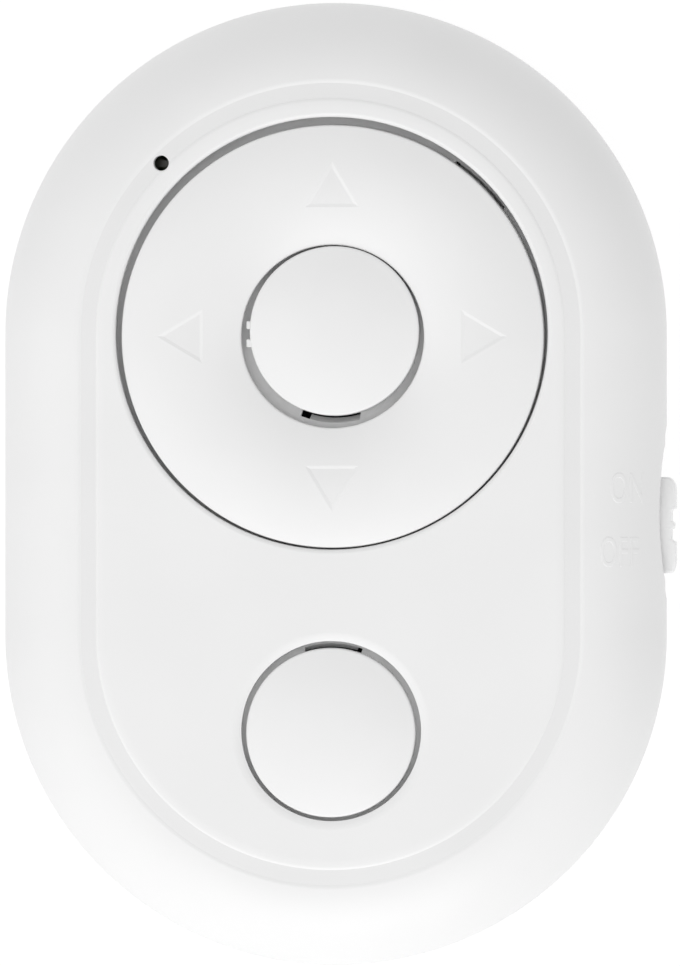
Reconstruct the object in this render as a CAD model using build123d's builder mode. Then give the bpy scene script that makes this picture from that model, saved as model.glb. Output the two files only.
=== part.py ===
from build123d import *
import math
import os

# Oval remote control that lies on its flat back.
# Millimetres. The origin is the middle of the back face, +Z points out of the keys,
# +Y points to the end with the direction ring and +X to the edge with the power slider.

# Plan of the body: every outline is an obround round the same two end centres
END_SPACING = 18.8
DPAD_HOLE_RADIUS = 13.5
PANEL_STRIP = 0.85
GROOVE_WIDTH = 1.25
RIM_WIDTH = 5.0

# Heights, stacked upwards from the back face
LID_RECESS = 0.1
LID_THICKNESS = 1.2
CELL_SEAT_GAP = 0.05
CELL_HEIGHT = 3.2
CONTACT_SPACE = 0.85
BOARD_THICKNESS = 1.0
KEY_ROOM = 3.6
PANEL_THICKNESS = 1.6

# Housing shells
WALL = 1.6
RIM_LAND = 0.3
BOTTOM_ROUND = 3.4
PARTING_RISE = 0.2
LIP_DEPTH = 1.0
LIP_THICKNESS = 0.7
LIP_CLEARANCE = 0.1
SEAM_CHAMFER = 0.15
GROOVE_DEPTH = 0.4
PANEL_EDGE_ROUND = 0.35
RIM_EDGE_ROUND = 0.2
DPAD_HOLE_ROUND = 0.2
SHUTTER_HOLE_ROUND = 0.7
OVERRUN = 1.0
SELECT_TOLERANCE = 0.001

# Screws and their bosses
BOSS_RADIUS = 1.9
BOSS_WALL_GAP = 0.1
BOSS_ANGLES_TOP = (90,)
BOSS_ANGLES_BOTTOM = (-45, -135)
SCREW_RADIUS = 0.75
SCREW_LENGTH = 7.4
SCREW_TIP_LENGTH = 0.9
SCREW_HEAD_RADIUS = 1.5
SCREW_HEAD_HEIGHT = 1.0
SCREW_HEAD_ROUND = 0.4
SCREW_CROSS_LENGTH = 1.8
SCREW_CROSS_WIDTH = 0.4
SCREW_CROSS_DEPTH = 0.6
SCREW_BITE_GAP = 0.05
SCREW_HOLE_GAP = 0.2
SCREW_RECESS_GAP = 0.25
PILOT_END_ROOM = 0.3

# Round keys
BUTTON_RADIUS = 5.26
BUTTON_CROWN = 0.85
BUTTON_EDGE_ROUND = 0.2
BUTTON_WALL = 1.15
BUTTON_SKIN = 1.9
BUTTON_FLANGE_REACH = 1.3
BUTTON_FLANGE_THICKNESS = 0.65
BUTTON_STEM_RADIUS = 1.5
BUTTON_NOTCH_WIDTH = 3.6
BUTTON_RIB_SIDE_GAP = 0.4
BUTTON_RIB_THICKNESS = 0.9
BUTTON_RIB_DEPTH = 0.9
CENTER_GAP = 0.47
CENTER_PROUD = 0.15
CENTER_FLANGE_GAP = 0.5
CENTER_NOTCH_ANGLE = -90
SHUTTER_GAP = 0.34
SHUTTER_EDGE_DROP = 0.1
SHUTTER_FLANGE_GAP = 0.1
SHUTTER_NOTCH_ANGLE = 90
SHUTTER_END_MARGIN = 2.75

# Moulding gate marks on the left flank of the centre key
GATE_MARK_WIDTH = 0.5
GATE_MARK_PROUD = 0.22
GATE_MARK_PITCH = 1.2
GATE_MARK_DROP = 0.25
GATE_MARK_HEIGHT = 1.2

# The keys float in their holes, and lie a little off their middles
DPAD_FLOAT_X = 0.06
DPAD_FLOAT_Y = -0.17
CENTER_FLOAT_X = 0.15
CENTER_FLOAT_Y = 0.13
SHUTTER_FLOAT_Y = -0.09

# Direction ring
DPAD_GAP = 0.36
DPAD_EDGE_DROP = 0.1
DPAD_CROWN = 0.65
DPAD_EDGE_ROUND = 0.2
DPAD_SKIN = 1.5
DPAD_WALL = 1.0
DPAD_FLANGE_REACH = 0.5
DPAD_FLANGE_THICKNESS = 0.9
DPAD_ROCK_ROOM = 0.6
DPAD_TUBE_RISE = 0.4
DPAD_POST_RADIUS = 1.4
DPAD_NOTCH_WIDTH = 4.0
DPAD_NOTCH_ANGLE = 45
DPAD_RIB_SIDE_GAP = 0.4
DPAD_RIB_END_GAP = 0.15
DPAD_RIB_THICKNESS = 1.0
DPAD_RIB_DEPTH = 1.1
ARROW_COUNT = 4
ARROW_BASE_RADIUS = 8.2
ARROW_TIP_RADIUS = 10.95
ARROW_WIDTH = 3.05
ARROW_DEPTH = 0.2

# Rubber keypad, cushion ring and contact pads
KEYPAD_THICKNESS = 0.5
KEYPAD_MARGIN = 2.2
KEYPAD_HOLE_GAP = 0.3
KEYPAD_POST_RADIUS = 0.8
KEYPAD_POST_EDGE = 1.3
KEYPAD_POST_ANGLES = (20, 70, 110, 160)
DOME_HEIGHT = 1.3
DOME_BASE_RADIUS = 2.6
DOME_TOP_RADIUS = 1.6
DOME_WALL = 0.4
DOME_SKIN = 0.6
DOME_PLUNGER_RADIUS = 0.9
CONTACT_GAP = 0.3
STEM_GAP = 0.05
SOFT_GAP = 0.05
CUSHION_INSET = 0.2
CUSHION_WIDTH = 1.4
PAD_THICKNESS = 0.08
PAD_RADIUS = 1.6
PAD_SPLIT = 0.3

# Circuit board and what is soldered to it
BOARD_EDGE_GAP = 0.6
BOARD_HOLE_GAP = 0.25
LED_HOLE_RADIUS = 0.45
LED_ANGLE = 135
LED_LENGTH = 1.6
LED_WIDTH = 0.8
LED_HEIGHT = 0.7
LED_LENS_ROUND = 0.2
LED_SHROUD_WALL = 0.3
LED_SHROUD_GAP = 0.3
CHIP_SIDE = 4.0
CHIP_HEIGHT = 0.85
CHIP_WELL_GAP = 2.0
CHIP_CHAMFER = 0.1
CRYSTAL_LENGTH = 3.2
CRYSTAL_WIDTH = 2.5
CRYSTAL_HEIGHT = 0.7
CRYSTAL_GAP = 1.0
CRYSTAL_ROUND = 0.2
PASSIVE_LENGTH = 1.0
PASSIVE_WIDTH = 0.5
PASSIVE_HEIGHT = 0.5
PASSIVE_COUNT = 5
PASSIVE_PITCH = 1.9
PASSIVE_WELL_GAP = 0.9
ANTENNA_LENGTH = 5.2
ANTENNA_WIDTH = 2.0
ANTENNA_HEIGHT = 1.1
ANTENNA_RADIUS = 12.5
ANTENNA_ANGLE = 58
ANTENNA_ROUND = 0.15

# Power slider and its switch
SWITCH_Y = -1.76
SLIDE_TRAVEL = 1.6
SWITCH_LENGTH = 6.7
SWITCH_DEPTH = 2.7
SWITCH_HEIGHT = 1.4
SWITCH_ROUND = 0.2
SWITCH_PLATE_GAP = 0.9
SWITCH_STEM_WIDTH = 1.4
SWITCH_STEM_HEIGHT = 0.9
SWITCH_STEM_LENGTH = 1.6
SWITCH_STEM_GAP = 0.08
SWITCH_WINDOW_DEPTH = 0.8
SWITCH_LEG_COUNT = 3
SWITCH_LEG_PITCH = 2.2
SWITCH_LEG_WIDTH = 0.5
SWITCH_LEG_LENGTH = 1.0
SWITCH_LEG_THICKNESS = 0.15
SWITCH_RELIEF = 0.3
KNOB_LENGTH = 6.0
KNOB_HEIGHT = 2.6
KNOB_PROUD = 0.43
KNOB_END_ROUND = 0.4
KNOB_RIDGE_PROUD = 0.22
KNOB_RIDGE_LENGTH = 1.35
KNOB_RIDGE_SPACING = 3.3
KNOB_MIDDLE_RIDGE_LENGTH = 0.35
KNOB_RIDGE_ROUND = 0.12
KNOB_PLATE_THICKNESS = 0.9
KNOB_PLATE_LENGTH = 9.9
KNOB_PLATE_HEIGHT = 3.8
KNOB_PLATE_GAP = 0.15
KNOB_SLOT_GAP = 0.2
SCOOP_DEPTH = 0.5
SCOOP_HALF_LENGTH = 5.0

# Coin cell and its contacts
CELL_RADIUS = 10.0
CELL_EDGE_ROUND = 0.4
CELL_RIM_WIDTH = 0.8
CELL_CAP_PROUD = 0.3
CELL_CAP_DEPTH = 0.5
CELL_GASKET_WIDTH = 0.4
CELL_SIDE_GAP = 0.35
SPRING_THICKNESS = 0.2
POSITIVE_WIDTH = 4.0
POSITIVE_FOOT = 3.2
POSITIVE_BEND_OUT = 0.9
POSITIVE_TOUCH_OUT = 0.25
POSITIVE_TAIL_OUT = 0.7
POSITIVE_TOUCH_DROP = 1.9
POSITIVE_TAIL_DROP = 2.5
POSITIVE_SLOT_GAP = 0.3
NEGATIVE_WIDTH = 3.0
NEGATIVE_HALF_SPAN = 3.0
NEGATIVE_FOOT = 1.2

# Battery lid, turned with a coin
LID_COLLAR_GAP = 0.25
LID_COLLAR_WALL = 0.7
LID_TURN_GAP = 0.15
LID_FACE_GAP = 0.05
LID_EDGE_CHAMFER = 0.2
LEDGE_WIDTH = 1.5
LEDGE_THICKNESS = 0.45
LUG_REACH = 0.9
LUG_THICKNESS = 0.55
LUG_GAP = 0.1
LUG_ROOM = 0.3
LUG_COUNT = 3
LUG_ANGLE = 26
LUG_SLOT_ANGLE = 32
LID_TWIST = 40
WELL_WALL = 1.1
WELL_BOARD_GAP = 0.6
COIN_SLOT_LENGTH = 14.0
COIN_SLOT_WIDTH = 1.9
COIN_SLOT_DEPTH = 0.6
SEAL_RADIUS = 0.32
SEAL_GROOVE_GAP = 0.06
MARK_RADIUS = 0.45
MARK_DEPTH = 0.2
MARK_EDGE_GAP = 1.3

# Outlines and levels worked out from the sizes above
PANEL_HALF = DPAD_HOLE_RADIUS + PANEL_STRIP
GROOVE_HALF = PANEL_HALF + GROOVE_WIDTH
BODY_HALF = GROOVE_HALF + RIM_WIDTH
INNER_HALF = BODY_HALF - WALL
TOP_ROUND = RIM_WIDTH - RIM_LAND
END_Y = END_SPACING / 2

LID_TOP = LID_RECESS + LID_THICKNESS
CELL_BOTTOM = LID_TOP + CELL_SEAT_GAP
CELL_TOP = CELL_BOTTOM + CELL_HEIGHT
BOARD_BOTTOM = CELL_TOP + CONTACT_SPACE
BOARD_TOP = BOARD_BOTTOM + BOARD_THICKNESS
CEILING_Z = BOARD_TOP + KEY_ROOM
BODY_HEIGHT = CEILING_Z + PANEL_THICKNESS
PARTING_Z = BOARD_BOTTOM + PARTING_RISE
KEYPAD_TOP = BOARD_TOP + KEYPAD_THICKNESS
DOME_TOP = KEYPAD_TOP + DOME_HEIGHT
STEM_BOTTOM = DOME_TOP + STEM_GAP

DPAD_RADIUS = DPAD_HOLE_RADIUS - DPAD_GAP
DPAD_BORE_RADIUS = BUTTON_RADIUS + CENTER_GAP
DPAD_POST_CIRCLE = (DPAD_RADIUS + DPAD_BORE_RADIUS) / 2
DPAD_FLANGE_RADIUS = DPAD_HOLE_RADIUS + DPAD_FLANGE_REACH
DPAD_FLANGE_TOP = CEILING_Z - DPAD_ROCK_ROOM
DPAD_FLANGE_BOTTOM = DPAD_FLANGE_TOP - DPAD_FLANGE_THICKNESS
DPAD_TUBE_BOTTOM = DPAD_FLANGE_BOTTOM + DPAD_TUBE_RISE
DPAD_EDGE_Z = BODY_HEIGHT - DPAD_EDGE_DROP
DPAD_CREST_Z = DPAD_EDGE_Z + DPAD_CROWN
BUTTON_FLANGE_RADIUS = BUTTON_RADIUS + BUTTON_FLANGE_REACH
SHUTTER_HOLE_RADIUS = BUTTON_RADIUS + SHUTTER_GAP
SHUTTER_HOLE_Y = SHUTTER_END_MARGIN + SHUTTER_HOLE_RADIUS - END_Y - PANEL_HALF

DPAD_HOLE_CENTER = (0, END_Y)
DPAD_CENTER = (DPAD_FLOAT_X, END_Y + DPAD_FLOAT_Y)
CENTER_CENTER = (CENTER_FLOAT_X, END_Y + CENTER_FLOAT_Y)
SHUTTER_HOLE_CENTER = (0, SHUTTER_HOLE_Y)
SHUTTER_CENTER = (0, SHUTTER_HOLE_Y + SHUTTER_FLOAT_Y)

COLLAR_INNER = CELL_RADIUS + LID_COLLAR_GAP
COLLAR_OUTER = COLLAR_INNER + LID_COLLAR_WALL
LEDGE_RADIUS = COLLAR_OUTER + LID_TURN_GAP
LID_RADIUS = LEDGE_RADIUS + LEDGE_WIDTH
LID_HOLE_RADIUS = LID_RADIUS + LID_TURN_GAP
LUG_RADIUS = COLLAR_OUTER + LUG_REACH
LUG_CHAMBER_RADIUS = LUG_RADIUS + LUG_ROOM
WELL_RADIUS = LID_HOLE_RADIUS + WELL_WALL
WELL_TOP = BOARD_BOTTOM - WELL_BOARD_GAP
LEDGE_BOTTOM = LID_TOP + LID_FACE_GAP
LEDGE_TOP = LEDGE_BOTTOM + LEDGE_THICKNESS
LUG_BOTTOM = LEDGE_TOP + LUG_GAP
LUG_TOP = LUG_BOTTOM + LUG_THICKNESS
LUG_CHAMBER_TOP = LUG_TOP + LUG_GAP

KNOB_Y = SWITCH_Y - SLIDE_TRAVEL / 2
KNOB_Z = BOARD_BOTTOM - SWITCH_HEIGHT / 2
PLATE_OUTER_X = INNER_HALF - KNOB_PLATE_GAP
PLATE_INNER_X = PLATE_OUTER_X - KNOB_PLATE_THICKNESS
SWITCH_FRONT_X = PLATE_INNER_X - SWITCH_PLATE_GAP
SWITCH_MIDDLE_X = SWITCH_FRONT_X - SWITCH_DEPTH / 2
KNOB_FACE_X = BODY_HALF + KNOB_PROUD
SCOOP_RADIUS = (SCOOP_HALF_LENGTH**2 + SCOOP_DEPTH**2) / (2 * SCOOP_DEPTH)


def around(center, radius, angle):
    """The point at an angle, in degrees from +X, on a circle in the plan."""
    turn = math.radians(angle)
    return (center[0] + radius * math.cos(turn), center[1] + radius * math.sin(turn))


BOSS_CIRCLE = INNER_HALF - BOSS_RADIUS - BOSS_WALL_GAP
BOSS_PLACES = [around((0, END_Y), BOSS_CIRCLE, angle) for angle in BOSS_ANGLES_TOP]
BOSS_PLACES += [around((0, -END_Y), BOSS_CIRCLE, angle) for angle in BOSS_ANGLES_BOTTOM]
KEYPAD_HALF = INNER_HALF - KEYPAD_MARGIN
POST_CIRCLE = KEYPAD_HALF - KEYPAD_POST_EDGE
POST_PLACES = [around((0, END_Y), POST_CIRCLE, angle) for angle in KEYPAD_POST_ANGLES]
POST_PLACES += [around((0, -END_Y), POST_CIRCLE, -angle) for angle in KEYPAD_POST_ANGLES]
LED_PLACE = around((0, END_Y), (PANEL_HALF + GROOVE_HALF) / 2, LED_ANGLE)
ARROW_ANGLES = [turn * 360 / ARROW_COUNT for turn in range(ARROW_COUNT)]
KEY_PLACES = [around(DPAD_CENTER, DPAD_POST_CIRCLE, angle) for angle in ARROW_ANGLES]
KEY_PLACES += [CENTER_CENTER, SHUTTER_CENTER]


def obround(half_width, mode=Mode.ADD):
    """Body outline at a distance from the two end centres, in the open sketch."""
    SlotCenterToCenter(END_SPACING, 2 * half_width, rotation=90, mode=mode)


def section_plane(center):
    """Upright plane through a centre: its x is the radius and its y is the height."""
    return Plane(origin=(center[0], center[1], 0), x_dir=(1, 0, 0), z_dir=(0, -1, 0))


def upright_axis(center):
    """Vertical line through a centre in the plan."""
    return Axis((center[0], center[1], 0), (0, 0, 1))


def ring_edges(piece, radius, height):
    """Full circle edges of a piece with a radius and at a height."""
    near = SELECT_TOLERANCE
    level = piece.edges().filter_by_position(Axis.Z, height - near, height + near)
    return level.filter_by(GeomType.CIRCLE).filter_by(lambda edge: abs(edge.radius - radius) < near)


def ring_sector(center, inner, outer, width, angle):
    """Part of a flat ring that lies within a straight band along an angle, in the open sketch."""
    with Locations(center):
        Circle(outer)
        Circle(inner, mode=Mode.SUBTRACT)
    with Locations(Location((*around(center, outer / 2, angle), 0), (0, 0, angle))):
        Rectangle(outer, width, mode=Mode.INTERSECT)


def pie_slice(radius, middle_angle, width_angle, mode=Mode.ADD):
    """Slice of a disc about the origin, wider than the disc, in the open sketch."""
    start = around((0, 0), 2 * radius, middle_angle - width_angle / 2)
    end = around((0, 0), 2 * radius, middle_angle + width_angle / 2)
    Polygon((0, 0), start, end, mode=mode)


# Tools that shape both housing shells

with BuildPart() as finger_scoop:
    with BuildSketch():
        with Locations((BODY_HALF - SCOOP_DEPTH + SCOOP_RADIUS, SWITCH_Y)):
            Circle(SCOOP_RADIUS)
    extrude(amount=BODY_HEIGHT)

with BuildPart() as knob_slot:
    with BuildSketch(Plane.YZ.offset(PLATE_OUTER_X)):
        with Locations((SWITCH_Y, KNOB_Z)):
            Rectangle(
                KNOB_LENGTH + SLIDE_TRAVEL + 2 * KNOB_SLOT_GAP,
                KNOB_HEIGHT + 2 * KNOB_SLOT_GAP,
            )
    extrude(amount=WALL + OVERRUN)

# Upper housing: face shell with rim, groove and panel

with BuildPart() as upper_cavity:
    with BuildSketch(Plane.XY.offset(PARTING_Z)):
        obround(INNER_HALF)
    extrude(amount=CEILING_Z - PARTING_Z)
    fillet(upper_cavity.faces().sort_by(Axis.Z)[-1].edges(), TOP_ROUND - WALL)

with BuildPart() as upper_housing:
    with BuildSketch(Plane.XY.offset(PARTING_Z)):
        obround(BODY_HALF)
    extrude(amount=BODY_HEIGHT - PARTING_Z)
    fillet(upper_housing.faces().sort_by(Axis.Z)[-1].edges(), TOP_ROUND)
    chamfer(upper_housing.faces().sort_by(Axis.Z)[0].edges(), SEAM_CHAMFER)
    # Groove between the rim and the raised panel
    with BuildSketch(Plane.XY.offset(BODY_HEIGHT)):
        obround(GROOVE_HALF)
        obround(PANEL_HALF, mode=Mode.SUBTRACT)
    extrude(amount=-GROOVE_DEPTH, mode=Mode.SUBTRACT)
    top_faces = upper_housing.faces().filter_by(Axis.Z).group_by(Axis.Z)[-1]
    rim_face, panel_face = top_faces.sort_by(SortBy.AREA)
    fillet(rim_face.inner_wires()[0].edges(), RIM_EDGE_ROUND)
    fillet(panel_face.outer_wire().edges(), PANEL_EDGE_ROUND)
    # Hollow inside, and a tongue that enters the lower shell
    add(upper_cavity.part, mode=Mode.SUBTRACT)
    with BuildSketch(Plane.XY.offset(PARTING_Z)):
        obround(INNER_HALF + LIP_THICKNESS)
        obround(INNER_HALF, mode=Mode.SUBTRACT)
    extrude(amount=-LIP_DEPTH)
    # Bosses for the screws and posts that hold the keypad down
    with BuildSketch(Plane.XY.offset(BOARD_TOP)):
        with Locations(*BOSS_PLACES):
            Circle(BOSS_RADIUS)
    extrude(amount=KEY_ROOM)
    with BuildSketch(Plane.XY.offset(KEYPAD_TOP + SOFT_GAP)):
        with Locations(*POST_PLACES):
            Circle(KEYPAD_POST_RADIUS)
    extrude(until=Until.NEXT)
    # Tube that leads the lamp's light to its pinhole
    with BuildSketch(Plane.XY.offset(BOARD_TOP + LED_HEIGHT + LED_SHROUD_GAP)):
        with Locations(LED_PLACE):
            Circle(LED_HOLE_RADIUS + LED_SHROUD_WALL)
    extrude(until=Until.NEXT)
    with BuildSketch(Plane.XY.offset(BODY_HEIGHT)):
        with Locations(LED_PLACE):
            Circle(LED_HOLE_RADIUS)
    extrude(amount=-KEY_ROOM - PANEL_THICKNESS, mode=Mode.SUBTRACT)
    with BuildSketch(Plane.XY.offset(BOARD_TOP)):
        with Locations(*BOSS_PLACES):
            Circle(SCREW_RADIUS + SCREW_BITE_GAP)
    extrude(
        amount=WALL + SCREW_LENGTH + PILOT_END_ROOM - BOARD_TOP,
        mode=Mode.SUBTRACT,
    )
    # Holes for the direction ring and the lower key
    with BuildSketch(Plane.XY.offset(BODY_HEIGHT)):
        with Locations(DPAD_HOLE_CENTER):
            Circle(DPAD_HOLE_RADIUS)
        with Locations(SHUTTER_HOLE_CENTER):
            Circle(SHUTTER_HOLE_RADIUS)
    extrude(amount=-PANEL_THICKNESS, mode=Mode.SUBTRACT)
    fillet(ring_edges(upper_housing, DPAD_HOLE_RADIUS, BODY_HEIGHT), DPAD_HOLE_ROUND)
    fillet(ring_edges(upper_housing, SHUTTER_HOLE_RADIUS, BODY_HEIGHT), SHUTTER_HOLE_ROUND)
    # Ribs that stop the ring and the key from turning
    with BuildSketch(Plane.XY.offset(CEILING_Z)):
        ring_sector(
            DPAD_HOLE_CENTER,
            DPAD_HOLE_RADIUS + DPAD_RIB_END_GAP,
            DPAD_HOLE_RADIUS + DPAD_RIB_END_GAP + DPAD_RIB_THICKNESS,
            DPAD_NOTCH_WIDTH - 2 * DPAD_RIB_SIDE_GAP,
            DPAD_NOTCH_ANGLE,
        )
    extrude(amount=-DPAD_RIB_DEPTH)
    with BuildSketch(Plane.XY.offset(CEILING_Z)):
        ring_sector(
            SHUTTER_HOLE_CENTER,
            SHUTTER_HOLE_RADIUS,
            SHUTTER_HOLE_RADIUS + BUTTON_RIB_THICKNESS,
            BUTTON_NOTCH_WIDTH - 2 * BUTTON_RIB_SIDE_GAP,
            SHUTTER_NOTCH_ANGLE,
        )
    extrude(amount=-BUTTON_RIB_DEPTH)
    # Finger scoop and slot of the power slider
    add(finger_scoop.part, mode=Mode.SUBTRACT)
    add(knob_slot.part, mode=Mode.SUBTRACT)

# Lower housing: back shell with the cell's well

with BuildPart() as lower_cavity:
    with BuildSketch(Plane.XY.offset(WALL)):
        obround(INNER_HALF)
    extrude(amount=PARTING_Z - WALL)
    fillet(lower_cavity.faces().sort_by(Axis.Z)[0].edges(), BOTTOM_ROUND - WALL)

with BuildPart() as lower_housing:
    with BuildSketch():
        obround(BODY_HALF)
    extrude(amount=PARTING_Z)
    fillet(lower_housing.faces().sort_by(Axis.Z)[0].edges(), BOTTOM_ROUND)
    chamfer(lower_housing.faces().sort_by(Axis.Z)[-1].edges(), SEAM_CHAMFER)
    add(lower_cavity.part, mode=Mode.SUBTRACT)
    with BuildSketch(Plane.XY.offset(PARTING_Z)):
        obround(INNER_HALF + LIP_THICKNESS + LIP_CLEARANCE)
    extrude(amount=-LIP_DEPTH - LIP_CLEARANCE, mode=Mode.SUBTRACT)
    # Screw bosses reach up to the board, and the well goes round the cell
    with BuildSketch(Plane.XY.offset(WALL)):
        with Locations(*BOSS_PLACES):
            Circle(BOSS_RADIUS)
    extrude(amount=BOARD_BOTTOM - WALL)
    with BuildSketch(Plane.XY.offset(WALL)):
        Circle(WELL_RADIUS)
    extrude(amount=WELL_TOP - WALL)
    # Hole of the lid, ledge for its lugs, room for them to turn, and guide of the cell
    with BuildSketch():
        Circle(LID_HOLE_RADIUS)
    extrude(amount=LEDGE_BOTTOM, mode=Mode.SUBTRACT)
    with BuildSketch(Plane.XY.offset(LEDGE_BOTTOM)):
        Circle(LEDGE_RADIUS)
    extrude(amount=LEDGE_THICKNESS, mode=Mode.SUBTRACT)
    with BuildSketch(Plane.XY.offset(LEDGE_BOTTOM)):
        for turn in range(LUG_COUNT):
            pie_slice(LUG_RADIUS, turn * 360 / LUG_COUNT - LID_TWIST, LUG_SLOT_ANGLE)
        Circle(LUG_RADIUS + LID_TURN_GAP, mode=Mode.INTERSECT)
    extrude(amount=LEDGE_THICKNESS, mode=Mode.SUBTRACT)
    with BuildSketch(Plane.XY.offset(LEDGE_TOP)):
        Circle(LUG_CHAMBER_RADIUS)
    extrude(amount=LUG_CHAMBER_TOP - LEDGE_TOP, mode=Mode.SUBTRACT)
    with BuildSketch(Plane.XY.offset(LUG_CHAMBER_TOP)):
        Circle(CELL_RADIUS + CELL_SIDE_GAP)
    extrude(amount=WELL_TOP - LUG_CHAMBER_TOP, mode=Mode.SUBTRACT)
    # Openings in the well for the positive contact and the power switch
    with BuildSketch(Plane.XY.offset(LUG_CHAMBER_TOP)):
        with Locations((-WELL_RADIUS, 0)):
            Rectangle(
                2 * (WELL_RADIUS - CELL_RADIUS),
                POSITIVE_WIDTH + 2 * POSITIVE_SLOT_GAP,
            )
        with Locations((SWITCH_MIDDLE_X, SWITCH_Y)):
            Rectangle(
                SWITCH_DEPTH + 2 * SWITCH_RELIEF,
                SWITCH_LENGTH + 2 * SWITCH_RELIEF,
            )
    extrude(amount=WELL_TOP - LUG_CHAMBER_TOP, mode=Mode.SUBTRACT)
    # Screw holes with recesses for the heads
    with BuildSketch():
        with Locations(*BOSS_PLACES):
            Circle(SCREW_HEAD_RADIUS + SCREW_RECESS_GAP)
    extrude(amount=WALL, mode=Mode.SUBTRACT)
    with BuildSketch(Plane.XY.offset(WALL)):
        with Locations(*BOSS_PLACES):
            Circle(SCREW_RADIUS + SCREW_HOLE_GAP)
    extrude(amount=BOARD_BOTTOM - WALL, mode=Mode.SUBTRACT)
    # Dots beside the lid for closed and open
    with BuildSketch():
        for angle in (90, 90 - LID_TWIST):
            with Locations(around((0, 0), LID_HOLE_RADIUS + MARK_EDGE_GAP, angle)):
                Circle(MARK_RADIUS)
    extrude(amount=MARK_DEPTH, mode=Mode.SUBTRACT)
    add(finger_scoop.part, mode=Mode.SUBTRACT)
    add(knob_slot.part, mode=Mode.SUBTRACT)

# Screws, in from the back

with BuildPart() as housing_screws:
    for place in BOSS_PLACES:
        with BuildSketch(section_plane(place)):
            with BuildLine():
                Polyline(
                    (0, WALL - SCREW_HEAD_HEIGHT),
                    (SCREW_HEAD_RADIUS, WALL - SCREW_HEAD_HEIGHT),
                    (SCREW_HEAD_RADIUS, WALL),
                    (SCREW_RADIUS, WALL),
                    (SCREW_RADIUS, WALL + SCREW_LENGTH - SCREW_TIP_LENGTH),
                    (0, WALL + SCREW_LENGTH),
                    close=True,
                )
            make_face()
        revolve(axis=upright_axis(place))
    fillet(
        ring_edges(housing_screws, SCREW_HEAD_RADIUS, WALL - SCREW_HEAD_HEIGHT),
        SCREW_HEAD_ROUND,
    )
    with BuildSketch(Plane.XY.offset(WALL - SCREW_HEAD_HEIGHT)):
        with Locations(*BOSS_PLACES):
            Rectangle(SCREW_CROSS_LENGTH, SCREW_CROSS_WIDTH)
            Rectangle(SCREW_CROSS_WIDTH, SCREW_CROSS_LENGTH)
    extrude(amount=SCREW_CROSS_DEPTH, mode=Mode.SUBTRACT)

# Direction ring: crowned top, hollow underneath, flange below the panel and four posts

with BuildPart() as dpad_ring:
    with BuildSketch(section_plane(DPAD_CENTER)):
        with BuildLine():
            ThreePointArc(
                (DPAD_BORE_RADIUS, DPAD_EDGE_Z),
                (DPAD_POST_CIRCLE, DPAD_CREST_Z),
                (DPAD_RADIUS, DPAD_EDGE_Z),
            )
            Polyline(
                (DPAD_RADIUS, DPAD_EDGE_Z),
                (DPAD_RADIUS, DPAD_FLANGE_TOP),
                (DPAD_FLANGE_RADIUS, DPAD_FLANGE_TOP),
                (DPAD_FLANGE_RADIUS, DPAD_FLANGE_BOTTOM),
                (DPAD_RADIUS - DPAD_WALL, DPAD_FLANGE_BOTTOM),
                (DPAD_RADIUS - DPAD_WALL, DPAD_CREST_Z - DPAD_SKIN),
                (DPAD_BORE_RADIUS + DPAD_WALL, DPAD_CREST_Z - DPAD_SKIN),
                (DPAD_BORE_RADIUS + DPAD_WALL, DPAD_TUBE_BOTTOM),
                (DPAD_BORE_RADIUS, DPAD_TUBE_BOTTOM),
                (DPAD_BORE_RADIUS, DPAD_EDGE_Z),
            )
        make_face()
    revolve(axis=upright_axis(DPAD_CENTER))
    fillet(ring_edges(dpad_ring, DPAD_RADIUS, DPAD_EDGE_Z), DPAD_EDGE_ROUND)
    fillet(ring_edges(dpad_ring, DPAD_BORE_RADIUS, DPAD_EDGE_Z), DPAD_EDGE_ROUND)
    with BuildSketch(Plane.XY.offset(DPAD_CREST_Z - ARROW_DEPTH)):
        with Locations(DPAD_CENTER):
            with PolarLocations(ARROW_BASE_RADIUS, ARROW_COUNT):
                Polygon(
                    (0, -ARROW_WIDTH / 2),
                    (ARROW_TIP_RADIUS - ARROW_BASE_RADIUS, 0),
                    (0, ARROW_WIDTH / 2),
                )
    extrude(amount=ARROW_DEPTH + OVERRUN, mode=Mode.SUBTRACT)
    with BuildSketch(Plane.XY.offset(STEM_BOTTOM)):
        with Locations(DPAD_CENTER):
            with PolarLocations(DPAD_POST_CIRCLE, ARROW_COUNT):
                Circle(DPAD_POST_RADIUS)
    extrude(amount=DPAD_CREST_Z - DPAD_SKIN - STEM_BOTTOM)
    # Notch in the flange for the housing's rib, and rib for the centre key's notch
    with BuildSketch(Plane.XY.offset(DPAD_FLANGE_BOTTOM)):
        ring_sector(
            DPAD_CENTER,
            DPAD_RADIUS,
            DPAD_FLANGE_RADIUS + OVERRUN,
            DPAD_NOTCH_WIDTH,
            DPAD_NOTCH_ANGLE,
        )
    extrude(amount=DPAD_FLANGE_THICKNESS, mode=Mode.SUBTRACT)
    with BuildSketch(Plane.XY.offset(DPAD_TUBE_BOTTOM)):
        ring_sector(
            DPAD_CENTER,
            DPAD_BORE_RADIUS,
            DPAD_BORE_RADIUS + DPAD_WALL,
            BUTTON_NOTCH_WIDTH - 2 * BUTTON_RIB_SIDE_GAP,
            CENTER_NOTCH_ANGLE,
        )
    extrude(amount=-BUTTON_RIB_DEPTH)


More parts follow.
